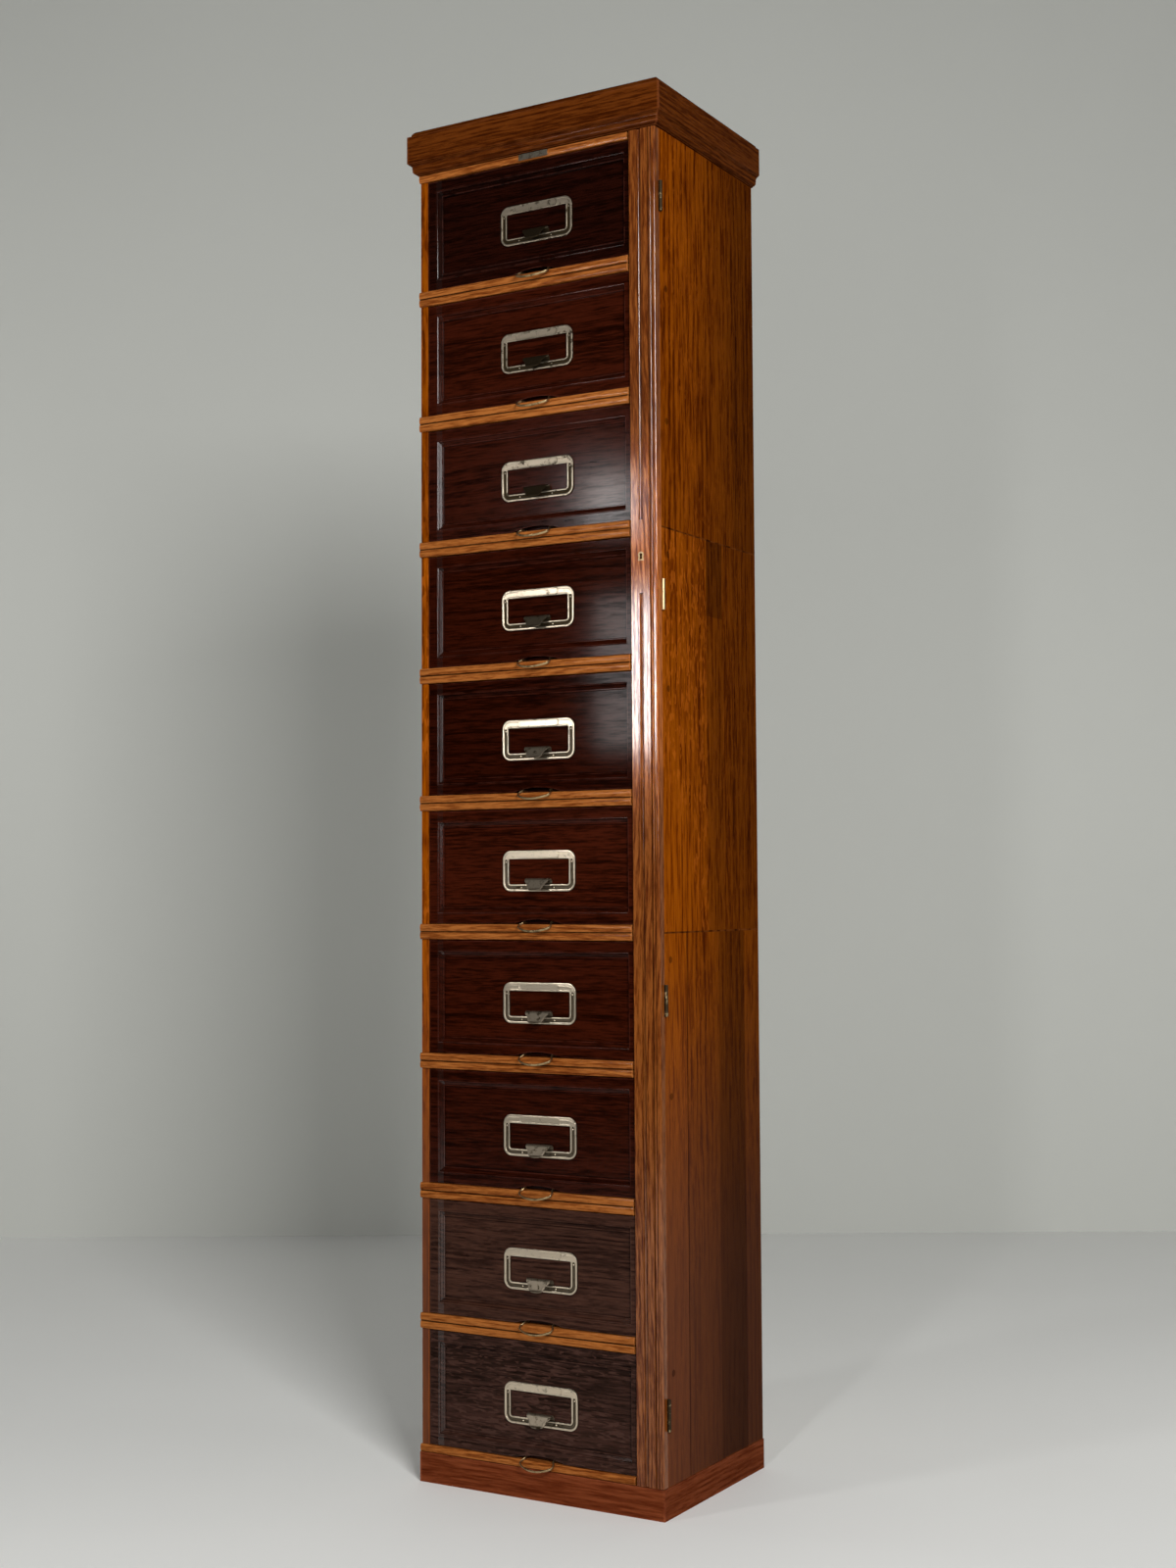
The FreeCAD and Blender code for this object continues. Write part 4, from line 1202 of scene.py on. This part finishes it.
@dataclass
class Studio:
    """Floor and wall, lamps, world and camera.

    Args:
        focal_px: the camera's focal length in pixels of the photograph, which is photo_px high.
        eye, right, up: the camera's place and directions.
        wall_distance: from the camera to the wall.
        room: half the width of floor and wall.
        floor_colour, wall_colour: their paint.
        air: colour of the world.
        air_strength: its strength as light.
        seen: strength added where the camera or a mirror sees it.
        lamps: key, streak on the stile, glint on drawer 3, side slot, washes and back light.
    """

    focal_px: float = 2112.32
    photo_px: float = 1600.0
    eye: tuple[float, float, float] = (1.54819, -2.62395, 0.84647)
    right: tuple[float, float, float] = (0.86122722, 0.50819218, -0.0053283)
    up: tuple[float, float, float] = (0.0306844, -0.04152966, 0.99866599)
    wall_distance: float = 5.15
    room: float = 14.0
    floor_colour: Colour = srgb(240, 240, 237)
    wall_colour: Colour = srgb(198, 199, 193)
    air: Colour = srgb(200, 204, 204)
    air_strength: float = 0.06
    seen: tuple[tuple[str, float], ...] = (("Is Camera Ray", 0.60), ("Is Glossy Ray", 0.06))
    lamps: tuple[Lamp, ...] = (
        Lamp("key", (2.7, -2.6, 2.4), (0.0, 0.0, 0.8), (1.1, 1.1), 146.0),
        Lamp("soft_box", (-1.22, -2.66, 1.45), (0.0, 0.0, 1.3), (0.27, 0.42), 12.0),
        Lamp("glint", (-1.33, -2.66, 1.93), (0.0, 0.0, 1.4), (0.12, 0.16), 2.2),
        Lamp("slot", (0.71, -3.0, 1.6), (-0.17, -0.14, 1.25), (0.2, 1.3), 22.0),
        Lamp("wall_low", (1.9, 0.9, 0.9), (0.2, 2.4, 0.0), (1.0, 1.0), 6.0),
        Lamp("back", (-0.9, 3.2, 2.0), (0.0, 0.1, 0.9), (1.2, 1.2), 22.0, 50.0),
        Lamp("wall_left", (-2.9, -0.6, 1.6), (-2.6, 1.6, 1.4), (1.0, 1.0), 7.0))

    def build(self) -> None:
        """Make the whole studio."""
        bpy.context.scene.view_settings.view_transform = "Standard"
        self.camera()
        self.cove()
        self.world()
        for lamp in self.lamps:
            lamp.hang()

    def camera(self) -> None:
        """Camera at the photograph's viewing angle."""
        data = bpy.data.cameras.new("camera")
        data.sensor_fit = "VERTICAL"
        data.sensor_width, data.sensor_height = 24.0, 32.0
        data.lens = self.focal_px / self.photo_px * data.sensor_height
        right, up = Vector(self.right), Vector(self.up)
        turn = Matrix((right, up, right.cross(up))).transposed().to_4x4()
        camera = linked("camera", data)
        camera.matrix_world = Matrix.Translation(self.eye) @ turn
        bpy.context.scene.camera = camera

    def sheet(self, name: str, colour: Colour, matrix: Matrix, one_sided: bool = False) -> None:
        """A large painted plane that isn't part of the chest.

        Args:
            name: its name.
            colour: its paint.
            matrix: place and half size of a unit plane.
            one_sided: whether it is clear from behind.
        """
        mesh = bmesh.new()
        bmesh.ops.create_grid(mesh, x_segments=1, y_segments=1, size=1.0, matrix=matrix)
        data = stored(name, mesh)
        shader = Shader(f"{name}_paint")
        cloud = shader.noise(shader.place, 1.3, 3.0)
        tone = shader.mix(cloud, tinted(colour, 0.95), colour)
        data.materials.append(shader.finish(tone, 0.6, gloss=0.2, clear_back=one_sided))
        linked(name, data)

    def cove(self) -> None:
        """Floor, and a wall square to the view behind the chest."""
        self.sheet("floor", self.floor_colour, Matrix.Diagonal((self.room, self.room, 1.0, 1.0)))
        across = Vector(self.right[:2]).to_3d().normalized()
        away = Vector((-across.y, across.x, 0))
        foot = Vector((self.eye[0], self.eye[1], 0)) + away * self.wall_distance
        turn = Matrix((across, Vector((0, 0, 1)), -away)).transposed().to_4x4()
        spread = Matrix.Diagonal((self.room, self.room / 2, 1.0, 1.0))
        upright = Matrix.Translation(foot) @ turn @ spread
        self.sheet("wall", self.wall_colour, upright, one_sided=True)

    def world(self) -> None:
        """Dim, even air that the camera sees as a pale backdrop, and varnish as a dimmer one."""
        world = bpy.data.worlds.new("air")
        world.use_nodes = True
        tree = world.node_tree
        back = tree.nodes["Background"]
        back.inputs["Color"].default_value = (*self.air, 1.0)
        rays = tree.nodes.new("ShaderNodeLightPath")
        level = None
        for ray, share in self.seen:
            step = tree.nodes.new("ShaderNodeMath")
            step.operation = "MULTIPLY_ADD"
            step.inputs[1].default_value = share
            step.inputs[2].default_value = self.air_strength
            tree.links.new(rays.outputs[ray], step.inputs[0])
            if level is not None:
                tree.links.new(level, step.inputs[2])
            level = step.outputs[0]
        tree.links.new(level, back.inputs["Strength"])
        bpy.context.scene.world = world


def main() -> None:
    """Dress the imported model, add its fittings and set the studio."""
    logging.basicConfig(level=logging.INFO, format="%(name)s: %(message)s")
    Studio().build()
    Case().dress()
    LockStile().dress()
    Ironwork().dress()
    nickel = AGED_NICKEL.material("nickel_frames")
    wire = WORN_WIRE.material("steel_loops")
    box = INSIDE_WOOD.material("pine_boxes", Axis.Y, 3.5)
    for number in DRAWERS:
        drawer = Drawer(number)
        drawer.dress(nickel, wire, box)
        drawer.fit(nickel, wire)


if __name__ == "__main__":
    main()
